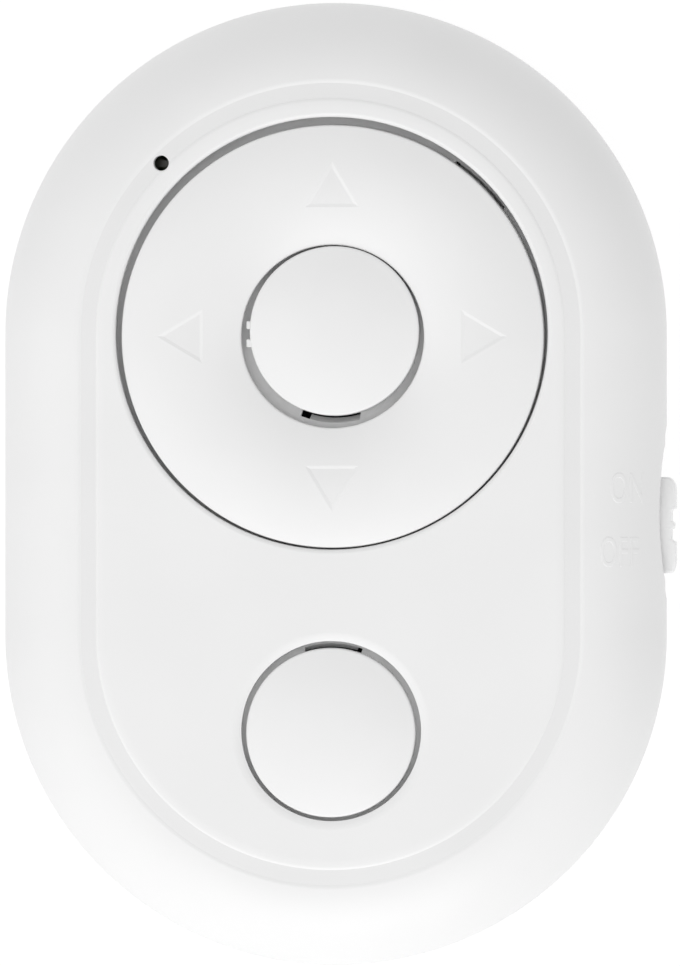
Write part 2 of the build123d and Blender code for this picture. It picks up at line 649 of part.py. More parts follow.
def round_key(center, edge_z, flange_top, notch_angle):
    """Domed key with a hollow skirt, a stem for its rubber dome and a notched flange."""
    dome_radius = (BUTTON_RADIUS**2 + BUTTON_CROWN**2) / (2 * BUTTON_CROWN)
    half_radius = BUTTON_RADIUS / 2
    half_drop = dome_radius - math.sqrt(dome_radius**2 - half_radius**2)
    top_z = edge_z + BUTTON_CROWN
    hollow_z = top_z - BUTTON_SKIN
    skirt_inner = BUTTON_RADIUS - BUTTON_WALL
    flange_bottom = flange_top - BUTTON_FLANGE_THICKNESS
    with BuildPart() as key:
        with BuildSketch(section_plane(center)):
            with BuildLine():
                ThreePointArc(
                    (0, top_z),
                    (half_radius, top_z - half_drop),
                    (BUTTON_RADIUS, edge_z),
                )
                Polyline(
                    (BUTTON_RADIUS, edge_z),
                    (BUTTON_RADIUS, flange_top),
                    (BUTTON_FLANGE_RADIUS, flange_top),
                    (BUTTON_FLANGE_RADIUS, flange_bottom),
                    (skirt_inner, flange_bottom),
                    (skirt_inner, hollow_z),
                    (BUTTON_STEM_RADIUS, hollow_z),
                    (BUTTON_STEM_RADIUS, STEM_BOTTOM),
                    (0, STEM_BOTTOM),
                    (0, top_z),
                )
            make_face()
        revolve(axis=upright_axis(center))
        fillet(ring_edges(key, BUTTON_RADIUS, edge_z), BUTTON_EDGE_ROUND)
        with BuildSketch(Plane.XY.offset(flange_bottom)):
            ring_sector(
                center,
                BUTTON_RADIUS,
                BUTTON_FLANGE_RADIUS + OVERRUN,
                BUTTON_NOTCH_WIDTH,
                notch_angle,
            )
        extrude(amount=BUTTON_FLANGE_THICKNESS, mode=Mode.SUBTRACT)
    return key


CENTER_EDGE_Z = DPAD_EDGE_Z + CENTER_PROUD
SHUTTER_EDGE_Z = BODY_HEIGHT - SHUTTER_EDGE_DROP
CENTER_FLANGE_TOP = DPAD_TUBE_BOTTOM - CENTER_FLANGE_GAP
SHUTTER_FLANGE_TOP = CEILING_Z - SHUTTER_FLANGE_GAP

plain_center_key = round_key(CENTER_CENTER, CENTER_EDGE_Z, CENTER_FLANGE_TOP, CENTER_NOTCH_ANGLE)

with BuildPart() as center_button:
    add(plain_center_key.part)
    # Two moulding marks stand on the left flank
    with BuildSketch(Plane.XY.offset(CENTER_EDGE_Z - GATE_MARK_DROP)):
        with Locations(CENTER_CENTER):
            with Locations((-BUTTON_RADIUS, 0)):
                with GridLocations(GATE_MARK_WIDTH, GATE_MARK_PITCH, 1, 2):
                    Rectangle(2 * GATE_MARK_PROUD, GATE_MARK_WIDTH)
    extrude(amount=-GATE_MARK_HEIGHT)

shutter_button = round_key(SHUTTER_CENTER, SHUTTER_EDGE_Z, SHUTTER_FLANGE_TOP, SHUTTER_NOTCH_ANGLE)

# Rubber keypad: one mat with a hollow dome under each key

with BuildPart() as silicone_keypad:
    with BuildSketch(Plane.XY.offset(BOARD_TOP)):
        obround(KEYPAD_HALF)
        with Locations(*BOSS_PLACES):
            Circle(BOSS_RADIUS + KEYPAD_HOLE_GAP, mode=Mode.SUBTRACT)
        with Locations(LED_PLACE):
            Circle(LED_LENGTH / 2 + KEYPAD_HOLE_GAP, mode=Mode.SUBTRACT)
        with Locations(*KEY_PLACES):
            Circle(DOME_BASE_RADIUS, mode=Mode.SUBTRACT)
    extrude(amount=KEYPAD_THICKNESS)
    for place in KEY_PLACES:
        with BuildSketch(section_plane(place)):
            with BuildLine():
                Polyline(
                    (0, DOME_TOP),
                    (DOME_TOP_RADIUS, DOME_TOP),
                    (DOME_BASE_RADIUS, KEYPAD_TOP),
                    (DOME_BASE_RADIUS, BOARD_TOP),
                    (DOME_BASE_RADIUS - DOME_WALL, BOARD_TOP),
                    (DOME_BASE_RADIUS - DOME_WALL, KEYPAD_TOP),
                    (DOME_TOP_RADIUS - DOME_WALL, DOME_TOP - DOME_SKIN),
                    (DOME_PLUNGER_RADIUS, DOME_TOP - DOME_SKIN),
                    (DOME_PLUNGER_RADIUS, BOARD_TOP + PAD_THICKNESS + CONTACT_GAP),
                    (0, BOARD_TOP + PAD_THICKNESS + CONTACT_GAP),
                    close=True,
                )
            make_face()
        revolve(axis=upright_axis(place))

# Foam ring that carries the direction ring

CUSHION_RADIUS = DPAD_FLANGE_RADIUS - CUSHION_INSET

with BuildPart() as dpad_cushion_ring:
    with BuildSketch(Plane.XY.offset(KEYPAD_TOP + SOFT_GAP)):
        with Locations(DPAD_CENTER):
            Circle(CUSHION_RADIUS)
            Circle(CUSHION_RADIUS - CUSHION_WIDTH, mode=Mode.SUBTRACT)
    extrude(amount=DPAD_FLANGE_BOTTOM - KEYPAD_TOP - 2 * SOFT_GAP)

# Circuit board

BOARD_HALF = INNER_HALF - BOARD_EDGE_GAP
PLATE_SWEEP = KNOB_PLATE_LENGTH + SLIDE_TRAVEL

with BuildPart() as circuit_board:
    with BuildSketch(Plane.XY.offset(BOARD_BOTTOM)):
        obround(BOARD_HALF)
        with Locations(*BOSS_PLACES):
            Circle(SCREW_RADIUS + BOARD_HOLE_GAP, mode=Mode.SUBTRACT)
        # Room at the edge for the slider's plate
        with Locations((INNER_HALF, SWITCH_Y)):
            Rectangle(
                2 * (INNER_HALF - PLATE_INNER_X + BOARD_EDGE_GAP),
                PLATE_SWEEP + 2 * BOARD_EDGE_GAP,
                mode=Mode.SUBTRACT,
            )
    extrude(amount=BOARD_THICKNESS)

with BuildPart() as contact_pads:
    with BuildSketch(Plane.XY.offset(BOARD_TOP)):
        with Locations(*KEY_PLACES):
            Circle(PAD_RADIUS)
            Rectangle(2 * PAD_RADIUS, PAD_SPLIT, mode=Mode.SUBTRACT)
    extrude(amount=PAD_THICKNESS)

with BuildPart() as status_led:
    with BuildSketch(Plane.XY.offset(BOARD_TOP)):
        with Locations(LED_PLACE):
            Rectangle(LED_LENGTH, LED_WIDTH)
    extrude(amount=LED_HEIGHT)
    fillet(status_led.faces().sort_by(Axis.Z)[-1].edges(), LED_LENS_ROUND)

# Parts on the underside of the board, beyond the well of the cell

CHIP_Y = -WELL_RADIUS - CHIP_WELL_GAP - CHIP_SIDE / 2

with BuildPart() as radio_chip:
    with BuildSketch(Plane.XY.offset(BOARD_BOTTOM)):
        with Locations((0, CHIP_Y)):
            Rectangle(CHIP_SIDE, CHIP_SIDE)
    extrude(amount=-CHIP_HEIGHT)
    chamfer(radio_chip.faces().sort_by(Axis.Z)[0].edges(), CHIP_CHAMFER)

with BuildPart() as crystal:
    with BuildSketch(Plane.XY.offset(BOARD_BOTTOM)):
        with Locations((CHIP_SIDE / 2 + CRYSTAL_GAP + CRYSTAL_LENGTH / 2, CHIP_Y)):
            Rectangle(CRYSTAL_LENGTH, CRYSTAL_WIDTH)
    extrude(amount=-CRYSTAL_HEIGHT)
    fillet(crystal.edges().filter_by(Axis.Z), CRYSTAL_ROUND)

with BuildPart() as passive_components:
    with BuildSketch(Plane.XY.offset(BOARD_BOTTOM)):
        with Locations((0, -WELL_RADIUS - PASSIVE_WELL_GAP)):
            with GridLocations(PASSIVE_PITCH, PASSIVE_PITCH, PASSIVE_COUNT, 1):
                Rectangle(PASSIVE_LENGTH, PASSIVE_WIDTH)
    extrude(amount=-PASSIVE_HEIGHT)

with BuildPart() as chip_antenna:
    with BuildSketch(Plane.XY.offset(BOARD_BOTTOM)):
        with Locations(around((0, END_Y), ANTENNA_RADIUS, ANTENNA_ANGLE)):
            Rectangle(ANTENNA_LENGTH, ANTENNA_WIDTH)
    extrude(amount=-ANTENNA_HEIGHT)
    fillet(chip_antenna.faces().sort_by(Axis.Z)[0].edges(), ANTENNA_ROUND)

# Power switch: metal body with a window for its stem, and three legs

STEM_SWEEP = SWITCH_STEM_WIDTH + SLIDE_TRAVEL + 2 * SWITCH_STEM_GAP
STEM_BACK_X = SWITCH_FRONT_X - SWITCH_WINDOW_DEPTH + SWITCH_STEM_GAP

with BuildPart() as power_switch_body:
    with BuildSketch(Plane.XY.offset(BOARD_BOTTOM)):
        with Locations((SWITCH_MIDDLE_X, SWITCH_Y)):
            Rectangle(SWITCH_DEPTH, SWITCH_LENGTH)
    extrude(amount=-SWITCH_HEIGHT)
    fillet(power_switch_body.edges().filter_by(Axis.Z), SWITCH_ROUND)
    with BuildSketch(Plane.YZ.offset(SWITCH_FRONT_X)):
        with Locations((SWITCH_Y, KNOB_Z)):
            Rectangle(STEM_SWEEP, SWITCH_STEM_HEIGHT + 2 * SWITCH_STEM_GAP)
    extrude(amount=-SWITCH_WINDOW_DEPTH, mode=Mode.SUBTRACT)

with BuildPart() as power_switch_terminals:
    with BuildSketch(Plane.XY.offset(BOARD_BOTTOM)):
        with Locations((SWITCH_FRONT_X - SWITCH_DEPTH - SWITCH_LEG_LENGTH / 2, SWITCH_Y)):
            with GridLocations(SWITCH_LEG_PITCH, SWITCH_LEG_PITCH, 1, SWITCH_LEG_COUNT):
                Rectangle(SWITCH_LEG_LENGTH, SWITCH_LEG_WIDTH)
    extrude(amount=-SWITCH_LEG_THICKNESS)

with BuildPart() as power_switch_stem:
    with BuildSketch(Plane.YZ.offset(STEM_BACK_X)):
        with Locations((KNOB_Y, KNOB_Z)):
            Rectangle(SWITCH_STEM_WIDTH, SWITCH_STEM_HEIGHT)
    extrude(amount=SWITCH_FRONT_X + SWITCH_STEM_LENGTH - STEM_BACK_X)

# Power slider: ribbed knob through the slot, with a plate behind the wall

with BuildPart() as power_slider:
    with BuildSketch(Plane.YZ.offset(PLATE_INNER_X)):
        with Locations((KNOB_Y, KNOB_Z)):
            Rectangle(KNOB_PLATE_LENGTH, KNOB_PLATE_HEIGHT)
    extrude(amount=KNOB_PLATE_THICKNESS)
    with BuildSketch(Plane.YZ.offset(PLATE_OUTER_X)):
        with Locations((KNOB_Y, KNOB_Z)):
            Rectangle(KNOB_LENGTH, KNOB_HEIGHT)
    extrude(amount=KNOB_FACE_X - PLATE_OUTER_X)
    knob_face = power_slider.faces().sort_by(Axis.X)[-1]
    fillet(knob_face.edges().filter_by(Axis.Z), KNOB_END_ROUND)
    with BuildSketch(Plane.YZ.offset(KNOB_FACE_X - KNOB_RIDGE_PROUD)):
        with Locations((KNOB_Y, KNOB_Z)):
            with GridLocations(KNOB_RIDGE_SPACING, KNOB_HEIGHT, 2, 1):
                Rectangle(KNOB_RIDGE_LENGTH, KNOB_HEIGHT)
            Rectangle(KNOB_MIDDLE_RIDGE_LENGTH, KNOB_HEIGHT)
    extrude(amount=2 * KNOB_RIDGE_PROUD)
    ridge_faces = power_slider.faces().filter_by(Axis.X).group_by(Axis.X)[-1]
    fillet(ridge_faces.edges().filter_by(Axis.Z), KNOB_RIDGE_ROUND)
    # Socket for the switch's stem
    with BuildSketch(Plane.YZ.offset(PLATE_INNER_X)):
        with Locations((KNOB_Y, KNOB_Z)):
            Rectangle(
                SWITCH_STEM_WIDTH + 2 * SWITCH_STEM_GAP,
                SWITCH_STEM_HEIGHT + 2 * SWITCH_STEM_GAP,
            )
    extrude(
        amount=SWITCH_FRONT_X + SWITCH_STEM_LENGTH + SWITCH_STEM_GAP - PLATE_INNER_X,
        mode=Mode.SUBTRACT,
    )

# Coin cell: can, gasket and cap

CAN_TOP = CELL_TOP - CELL_CAP_PROUD
CAP_BOTTOM = CAN_TOP - CELL_CAP_DEPTH
GASKET_RADIUS = CELL_RADIUS - CELL_RIM_WIDTH
CELL_CAP_RADIUS = GASKET_RADIUS - CELL_GASKET_WIDTH

with BuildPart() as coin_cell_can:
    with BuildSketch(Plane.XY.offset(CELL_BOTTOM)):
        Circle(CELL_RADIUS)
    extrude(amount=CAN_TOP - CELL_BOTTOM)
    fillet(ring_edges(coin_cell_can, CELL_RADIUS, CELL_BOTTOM), CELL_EDGE_ROUND)
    with BuildSketch(Plane.XY.offset(CAP_BOTTOM)):
        Circle(GASKET_RADIUS)
    extrude(amount=CELL_CAP_DEPTH, mode=Mode.SUBTRACT)

with BuildPart() as coin_cell_gasket:
    with BuildSketch(Plane.XY.offset(CAP_BOTTOM)):
        Circle(GASKET_RADIUS)
        Circle(CELL_CAP_RADIUS, mode=Mode.SUBTRACT)
    extrude(amount=CELL_CAP_DEPTH)

with BuildPart() as coin_cell_cap:
    with BuildSketch(Plane.XY.offset(CAP_BOTTOM)):
        Circle(CELL_CAP_RADIUS)
    extrude(amount=CELL_CAP_DEPTH + CELL_CAP_PROUD)
    fillet(ring_edges(coin_cell_cap, CELL_CAP_RADIUS, CELL_TOP), CELL_CAP_PROUD / 2)

# Bent spring strips that touch the cell's edge and its cap

STRIP_Z = BOARD_BOTTOM - SPRING_THICKNESS / 2

with BuildPart() as battery_positive_contact:
    with BuildSketch(Plane.XZ):
        with BuildLine():
            Polyline(
                (-CELL_RADIUS - POSITIVE_BEND_OUT - POSITIVE_FOOT, STRIP_Z),
                (-CELL_RADIUS - POSITIVE_BEND_OUT, STRIP_Z),
                (-CELL_RADIUS - POSITIVE_TOUCH_OUT, STRIP_Z - POSITIVE_TOUCH_DROP),
                (-CELL_RADIUS - POSITIVE_TAIL_OUT, STRIP_Z - POSITIVE_TAIL_DROP),
            )
        trace(line_width=SPRING_THICKNESS)
    extrude(amount=POSITIVE_WIDTH / 2, both=True)

with BuildPart() as battery_negative_contact:
    with BuildSketch(Plane.XZ):
        with BuildLine():
            Polyline(
                (-NEGATIVE_HALF_SPAN - NEGATIVE_FOOT, STRIP_Z),
                (-NEGATIVE_HALF_SPAN, STRIP_Z),
                (0, CELL_TOP + SPRING_THICKNESS),
                (NEGATIVE_HALF_SPAN, STRIP_Z),
                (NEGATIVE_HALF_SPAN + NEGATIVE_FOOT, STRIP_Z),
            )
        trace(line_width=SPRING_THICKNESS)
    extrude(amount=NEGATIVE_WIDTH / 2, both=True)

# Battery lid with its seal

SEAL_CIRCLE = (LEDGE_RADIUS + LID_RADIUS) / 2
SEAL_Z = LID_TOP - SEAL_RADIUS

with BuildPart() as battery_lid:
    with BuildSketch(Plane.XY.offset(LID_RECESS)):
        Circle(LID_RADIUS)
    extrude(amount=LID_THICKNESS)
    chamfer(ring_edges(battery_lid, LID_RADIUS, LID_RECESS), LID_EDGE_CHAMFER)
    with BuildSketch(Plane.XY.offset(LID_TOP)):
        Circle(COLLAR_OUTER)
        Circle(COLLAR_INNER, mode=Mode.SUBTRACT)
    extrude(amount=LUG_TOP - LID_TOP)
    with BuildSketch(Plane.XY.offset(LUG_BOTTOM)):
        for turn in range(LUG_COUNT):
            pie_slice(LUG_RADIUS, turn * 360 / LUG_COUNT, LUG_ANGLE)
        Circle(LUG_RADIUS, mode=Mode.INTERSECT)
        Circle(COLLAR_INNER, mode=Mode.SUBTRACT)
    extrude(amount=LUG_THICKNESS)
    with BuildSketch(Plane.XY.offset(LID_RECESS)):
        SlotOverall(COIN_SLOT_LENGTH, COIN_SLOT_WIDTH)
    extrude(amount=COIN_SLOT_DEPTH, mode=Mode.SUBTRACT)
    with BuildSketch(Plane.XY.offset(LID_RECESS)):
        with Locations((0, LID_RADIUS - MARK_EDGE_GAP)):
            Circle(MARK_RADIUS)
    extrude(amount=MARK_DEPTH, mode=Mode.SUBTRACT)
    with BuildSketch(Plane.XY.offset(LID_TOP)):
        Circle(SEAL_CIRCLE + SEAL_RADIUS + SEAL_GROOVE_GAP)
        Circle(SEAL_CIRCLE - SEAL_RADIUS - SEAL_GROOVE_GAP, mode=Mode.SUBTRACT)
    extrude(amount=-2 * SEAL_RADIUS - SEAL_GROOVE_GAP, mode=Mode.SUBTRACT)

with BuildPart() as battery_lid_seal:
    with BuildSketch(section_plane((0, 0))):
        with Locations((SEAL_CIRCLE, SEAL_Z)):
            Circle(SEAL_RADIUS)
    revolve(axis=Axis.Z)

pieces = {
    "upper_housing": upper_housing,
    "lower_housing": lower_housing,
    "housing_screws": housing_screws,
    "dpad_ring": dpad_ring,
    "center_button": center_button,
    "shutter_button": shutter_button,
    "silicone_keypad": silicone_keypad,
    "dpad_cushion_ring": dpad_cushion_ring,
    "circuit_board": circuit_board,
    "contact_pads": contact_pads,
    "status_led": status_led,
    "radio_chip": radio_chip,
    "crystal": crystal,
    "passive_components": passive_components,
    "chip_antenna": chip_antenna,
    "power_switch_body": power_switch_body,
    "power_switch_terminals": power_switch_terminals,
    "power_switch_stem": power_switch_stem,
    "power_slider": power_slider,
    "coin_cell_can": coin_cell_can,
    "coin_cell_gasket": coin_cell_gasket,
    "coin_cell_cap": coin_cell_cap,
    "battery_positive_contact": battery_positive_contact,
    "battery_negative_contact": battery_negative_contact,
    "battery_lid": battery_lid,
    "battery_lid_seal": battery_lid_seal,
}

os.makedirs("parts", exist_ok=True)
for name, piece in pieces.items():
    piece.part.label = name
    export_step(piece.part, f"parts/{name}.step")
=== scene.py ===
"""Oval pocket remote: the looks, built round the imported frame."""

import logging
import math
from collections.abc import Callable
from dataclasses import dataclass
from enum import Enum
from typing import Any

import bmesh
import bpy
from mathutils import Matrix, Vector


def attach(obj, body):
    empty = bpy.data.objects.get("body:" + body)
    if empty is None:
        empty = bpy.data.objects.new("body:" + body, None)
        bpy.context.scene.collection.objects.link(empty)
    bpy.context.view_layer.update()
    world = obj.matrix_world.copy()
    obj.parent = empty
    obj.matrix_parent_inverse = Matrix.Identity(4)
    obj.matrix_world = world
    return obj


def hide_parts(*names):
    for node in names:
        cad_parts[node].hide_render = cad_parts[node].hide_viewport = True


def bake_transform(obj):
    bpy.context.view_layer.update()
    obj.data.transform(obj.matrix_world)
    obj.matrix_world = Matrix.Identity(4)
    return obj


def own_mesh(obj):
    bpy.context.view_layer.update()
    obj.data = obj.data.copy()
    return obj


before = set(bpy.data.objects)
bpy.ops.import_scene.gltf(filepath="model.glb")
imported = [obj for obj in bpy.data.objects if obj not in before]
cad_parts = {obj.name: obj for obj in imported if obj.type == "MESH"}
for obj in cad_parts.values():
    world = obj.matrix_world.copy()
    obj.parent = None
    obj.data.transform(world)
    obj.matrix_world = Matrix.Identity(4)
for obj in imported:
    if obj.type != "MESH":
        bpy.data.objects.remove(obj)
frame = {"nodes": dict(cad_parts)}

LOG = logging.getLogger("pocket_remote")
MILLIMETRE = 0.001
Point = tuple[float, float]
Layer = tuple[list[Point], float]
Piece = bpy.types.Object
Tree = bpy.types.NodeTree
Socket = bpy.types.NodeSocket
ORIGIN: Point = (0.0, 0.0)
# How far a cutting tool stands out past the face that it cuts, in millimetres
CLEAR = 1.0
# Keeps two faces that meet from lying in one plane, in millimetres
HAIR = 0.002
# Corners that are nearer to each other than this are one, in millimetres
MERGE = 1e-5
# A face is level if its normal rises at least this much
LEVEL = 0.9


# Colours and shader nodes


def linear(hex_colour: str) -> tuple[float, float, float, float]:
    """Turns an sRGB hex colour into linear light.

    Args:
        hex_colour: Hash sign and six hex digits.

    Returns:
        Red, green and blue in linear light, and an alpha of one.
    """
    shares = [int(hex_colour[start:start + 2], 16) / 255 for start in (1, 3, 5)]
    light = [s / 12.92 if s <= 0.04045 else ((s + 0.055) / 1.055) ** 2.4 for s in shares]
    return (*light, 1.0)


def add_node(
    tree: Tree, kind: str, settings: dict[str, Any] | None = None,
    links: dict[str | int, Socket] | None = None,
) -> bpy.types.Node:
    """Adds one node with its settings and links.

    Args:
        tree: Tree that gets the node.
        kind: Blender's name for the type of node.
        settings: Values of input sockets, or of the node's own properties, by name.
        links: Output sockets to link, by the name or the number of the input they go to.

    Returns:
        The new node.
    """
    node = tree.nodes.new(kind)
    for name, value in (settings or {}).items():
        if name in node.inputs:
            node.inputs[name].default_value = value
        else:
            setattr(node, name, value)
    for target, socket in (links or {}).items():
        tree.links.new(socket, node.inputs[target])
    return node


class Grain(Enum):
    """How a surface was made, which decides the texture that carries its relief."""

    SPARKED = "moulded against a spark-eroded steel face"
    POLISHED = "moulded against a polished steel face"
    DRAWN = "rolled or drawn metal with fine straight lines"
    FOAMED = "cut foam with open cells"
    PLATED = "plated or tinned metal with a soft orange peel"


@dataclass(frozen=True)
class Finish:
    """A real material and the way its surface was made.

    The sizes of the patterns and the depth of the relief are in millimetres.
    """

    name: str
    colour: str
    second_colour: str
    patch_size: float
    roughness: float
    roughness_swing: float
    grain: Grain
    grain_size: float
    relief: float
    metallic: float = 0.0
    ior: float = 1.5
    transmission: float = 0.0
    patch_detail: float = 2.0
    patch_edges: Point = (0.35, 0.65)
    drawn_squeeze: float = 0.04
    pit_detail: float = 3.0
    smooth_detail: float = 1.0

    def texture(self, tree: Tree, where: Socket) -> Socket:
        """Adds the texture that gives the surface its relief.

        Args:
            tree: Tree of the material.
            where: Socket with the place on the piece, in metres.

        Returns:
            Socket with the height, from 0 to 1.
        """
        per_metre = 1 / (self.grain_size * MILLIMETRE)
        if self.grain is Grain.FOAMED:
            cells = add_node(tree, "ShaderNodeTexVoronoi", {"Scale": per_metre}, {"Vector": where})
            return cells.outputs["Distance"]
        if self.grain is Grain.DRAWN:
            squeeze = (self.drawn_squeeze, 1.0, 1.0)
            drawn = add_node(tree, "ShaderNodeMapping", {"Scale": squeeze}, {"Vector": where})
            where = drawn.outputs["Vector"]
        detail = self.pit_detail if self.grain is Grain.SPARKED else self.smooth_detail
        lumps = add_node(
            tree, "ShaderNodeTexNoise", {"Scale": per_metre, "Detail": detail}, {"Vector": where}
        )
        return lumps.outputs["Fac"]

    def material(self) -> bpy.types.Material:
        """Makes the material, or finds it if it is made already.

        Returns:
            Material with colour patches, a roughness that wanders and a fine relief.
        """
        found = bpy.data.materials.get(self.name)
        if found is not None:
            return found
        made = bpy.data.materials.new(self.name)
        made.use_nodes = True
        tree = made.node_tree
        where = add_node(tree, "ShaderNodeTexCoord").outputs["Object"]
        per_metre = 1 / (self.patch_size * MILLIMETRE)
        patches = add_node(
            tree, "ShaderNodeTexNoise", {"Scale": per_metre, "Detail": self.patch_detail},
            {"Vector": where},
        )
        colours = add_node(tree, "ShaderNodeValToRGB", links={"Fac": patches.outputs["Fac"]})
        ends = zip(self.patch_edges, (self.second_colour, self.colour))
        for stop, (edge, colour) in zip(colours.color_ramp.elements, ends):
            stop.position = edge
            stop.color = linear(colour)
        height = self.texture(tree, where)
        smooth = self.roughness - self.roughness_swing
        rough = self.roughness + self.roughness_swing
        gloss = add_node(
            tree, "ShaderNodeMapRange", {"To Min": smooth, "To Max": rough}, {"Value": height}
        )
        relief = add_node(
            tree, "ShaderNodeBump", {"Strength": 1.0, "Distance": self.relief * MILLIMETRE},
            {"Height": height},
        )
        shader = tree.nodes["Principled BSDF"].inputs
        shader["Metallic"].default_value = self.metallic
        shader["IOR"].default_value = self.ior
        shader["Transmission Weight"].default_value = self.transmission
        tree.links.new(colours.outputs["Color"], shader["Base Color"])
        tree.links.new(gloss.outputs["Result"], shader["Roughness"])
        tree.links.new(relief.outputs["Normal"], shader["Normal"])
        return made


# White ABS from a spark-eroded mould: an even, milky white with a satin face that
# spreads reflections. The real pits are 0.05 mm, drawn at 0.12 mm so that they show.
SATIN_ABS = Finish(
    "white_abs_spark_eroded", "#F4F4F4", "#F2F2F2", 9.0, 0.46, 0.05, Grain.SPARKED, 0.12, 0.0012,
    ior=1.54,
)
# The same ABS from a coarser spark-eroded band of the mould, on the groove's floor: duller, and
# a shade greyer as painted shade that stands in for the shade of the groove and its pits.
# The real pits are 0.1 mm, drawn at 0.16 mm so that they show.
COARSE_SHADED_ABS = Finish(
    "white_abs_coarse_painted_shade", "#EFEFEF", "#EDEDED", 9.0, 0.58, 0.05, Grain.SPARKED, 0.16, 0.0025,
    ior=1.54,
)
# White ABS from a finer mould for the keys: smoother, with a soft sheen on the domes.
# The real pits are 0.03 mm, drawn at 0.1 mm so that they show.
KEY_ABS = Finish(
    "white_abs_fine_moulded", "#F4F4F4", "#F2F2F2", 7.0, 0.40, 0.04, Grain.SPARKED, 0.10, 0.0008,
    ior=1.54,
)
# The same ABS where the key's mould is etched, on the floors of the sunk arrows: matt, and a hint
# greyer than the key round it as painted shade in the arrows. The real pits are 0.04 mm, drawn at
# 0.12 mm so that they show.
ETCHED_SHADED_ABS = Finish(
    "white_abs_etched_painted_shade", "#F1F1F1", "#F0F0F0", 7.0, 0.52, 0.05, Grain.SPARKED, 0.12, 0.0016,
    ior=1.54,
)
# White acetal, moulded and left as it comes: waxy, and a little shinier where thumbs rub it. Its
# colour is whiter than the ABS, partly as painted light that lifts the knob out of the rim's
# shade.
SLIDE_ACETAL_LIFTED = Finish(
    "white_acetal_lifted_painted_light", "#FCFCFC", "#F9F9F9", 2.0, 0.36, 0.06, Grain.POLISHED, 0.3, 0.0015,
    ior=1.48,
)
# Zinc-plated steel: cool grey metal with a slight orange peel.
ZINC_STEEL = Finish(
    "zinc_plated_steel", "#B9BCC2", "#A6AAB1", 0.8, 0.32, 0.08, Grain.PLATED, 0.2, 0.002,
    metallic=1.0,
)
# Compression-moulded silicone rubber: matt dark grey, very fine bloom.
GREY_SILICONE = Finish(
    "grey_silicone_moulded", "#55565A", "#4C4D51", 3.0, 0.62, 0.06, Grain.SPARKED, 0.15, 0.002,
    ior=1.41,
)
# Die-cut closed-cell foam: dead black with small open pores on the cut faces.
BLACK_FOAM = Finish(
    "black_foam_die_cut", "#26262A", "#1C1C1F", 1.2, 0.9, 0.05, Grain.FOAMED, 0.22, 0.05
)
# Moulded nitrile rubber: black with a dull, slightly greasy sheen.
NITRILE_RUBBER = Finish(
    "nitrile_rubber_moulded", "#2B2B2D", "#232325", 1.5, 0.55, 0.06, Grain.POLISHED, 0.25, 0.003,
    ior=1.52,
)
# Glass-epoxy board under green solder mask: glossy, with the weave of the glass showing through.
MASKED_LAMINATE = Finish(
    "green_solder_mask", "#1F6B3D", "#175A31", 1.6, 0.3, 0.08, Grain.DRAWN, 0.4, 0.006, ior=1.55
)
# Gold flash over nickel on copper: warm, bright and slightly grained.
GOLD_FLASH = Finish(
    "gold_flash_on_copper", "#E6C27A", "#D8B069", 0.6, 0.24, 0.06, Grain.PLATED, 0.12, 0.0015,
    metallic=1.0,
)
# Clear epoxy lens of the lamp: glassy with a faint yellow haze.
LAMP_EPOXY = Finish(
    "clear_epoxy_cast", "#F4F2E4", "#EFECD8", 0.7, 0.12, 0.04, Grain.POLISHED, 0.3, 0.001,
    ior=1.53, transmission=0.6,
)
# Filled moulding compound of the chip: matt black with a sandy face.
CHIP_COMPOUND = Finish(
    "black_moulding_compound", "#2A2A2B", "#222223", 0.9, 0.68, 0.06, Grain.SPARKED, 0.1, 0.002,
    ior=1.6,
)
# Tinned sheet steel of the cans: soft silver with rolling lines.
TINNED_STEEL = Finish(
    "tinned_sheet_steel", "#C6C7C8", "#B5B6B8", 1.0, 0.3, 0.08, Grain.DRAWN, 0.06, 0.001,
    metallic=1.0,
)
# Fired ceramic of the small parts: dull tan, grainy.
FIRED_CERAMIC = Finish(
    "fired_ceramic", "#B5A692", "#A39480", 0.4, 0.6, 0.06, Grain.SPARKED, 0.08, 0.002, ior=1.7
)
# Bright stamped steel of the coin cell: silver with fine turning lines.
CELL_STEEL = Finish(
    "bright_stamped_steel", "#D4D4D5", "#C4C5C7", 2.5, 0.22, 0.07, Grain.DRAWN, 0.05, 0.001,
    metallic=1.0,
)
# Moulded nylon of the cell's gasket: dark and waxy.
GASKET_NYLON = Finish(
    "dark_nylon_moulded", "#606164", "#57585B", 0.8, 0.45, 0.05, Grain.POLISHED, 0.2, 0.002,
    ior=1.53,
)
# Nickel-plated spring strip: warm silver with slitting lines along the strip.
NICKEL_STRIP = Finish(
    "nickel_plated_spring_strip", "#CDCAC2", "#BDB9B0", 1.0, 0.27, 0.07, Grain.DRAWN, 0.05, 0.001,
    metallic=1.0,
)


# Meshes, all in millimetres until a piece is seated


@dataclass(frozen=True)
class Station:
    """A place on an outline: where a section starts, and the way that it points."""

    base: Point
    way: Point


def circle_stations(centre: Point, steps: int = 192) -> list[Station]:
    """Lays stations round a centre, for turned pieces.

    Args:
        centre: Axis of the piece in the plan.
        steps: Number of stations.

    Returns:
        Stations anticlockwise from +X.
    """
    turns = [2 * math.pi * step / steps for step in range(steps)]
    return [Station(centre, (math.cos(turn), math.sin(turn))) for turn in turns]


def obround_stations(end_y: float, steps: int = 128) -> list[Station]:
    """Lays stations round the oval plan of the body.

    Args:
        end_y: Distance of the two end centres from the middle.
        steps: Number of parts of each half circle.

    Returns:
        Stations anticlockwise from the right-hand side of the upper end.
    """
    turns = [math.pi * step / steps for step in range(steps + 1)]
    upper = [Station((0.0, end_y), (math.cos(turn), math.sin(turn))) for turn in turns]
    lower = [Station((0.0, -end_y), (-math.cos(turn), -math.sin(turn))) for turn in turns]
    return upper + lower


def polar(centre: Point, radius: float, angle: float) -> Point:
    """Gives the point at a distance from a centre, in a direction in degrees."""
    turn = math.radians(angle)
    return centre[0] + radius * math.cos(turn), centre[1] + radius * math.sin(turn)


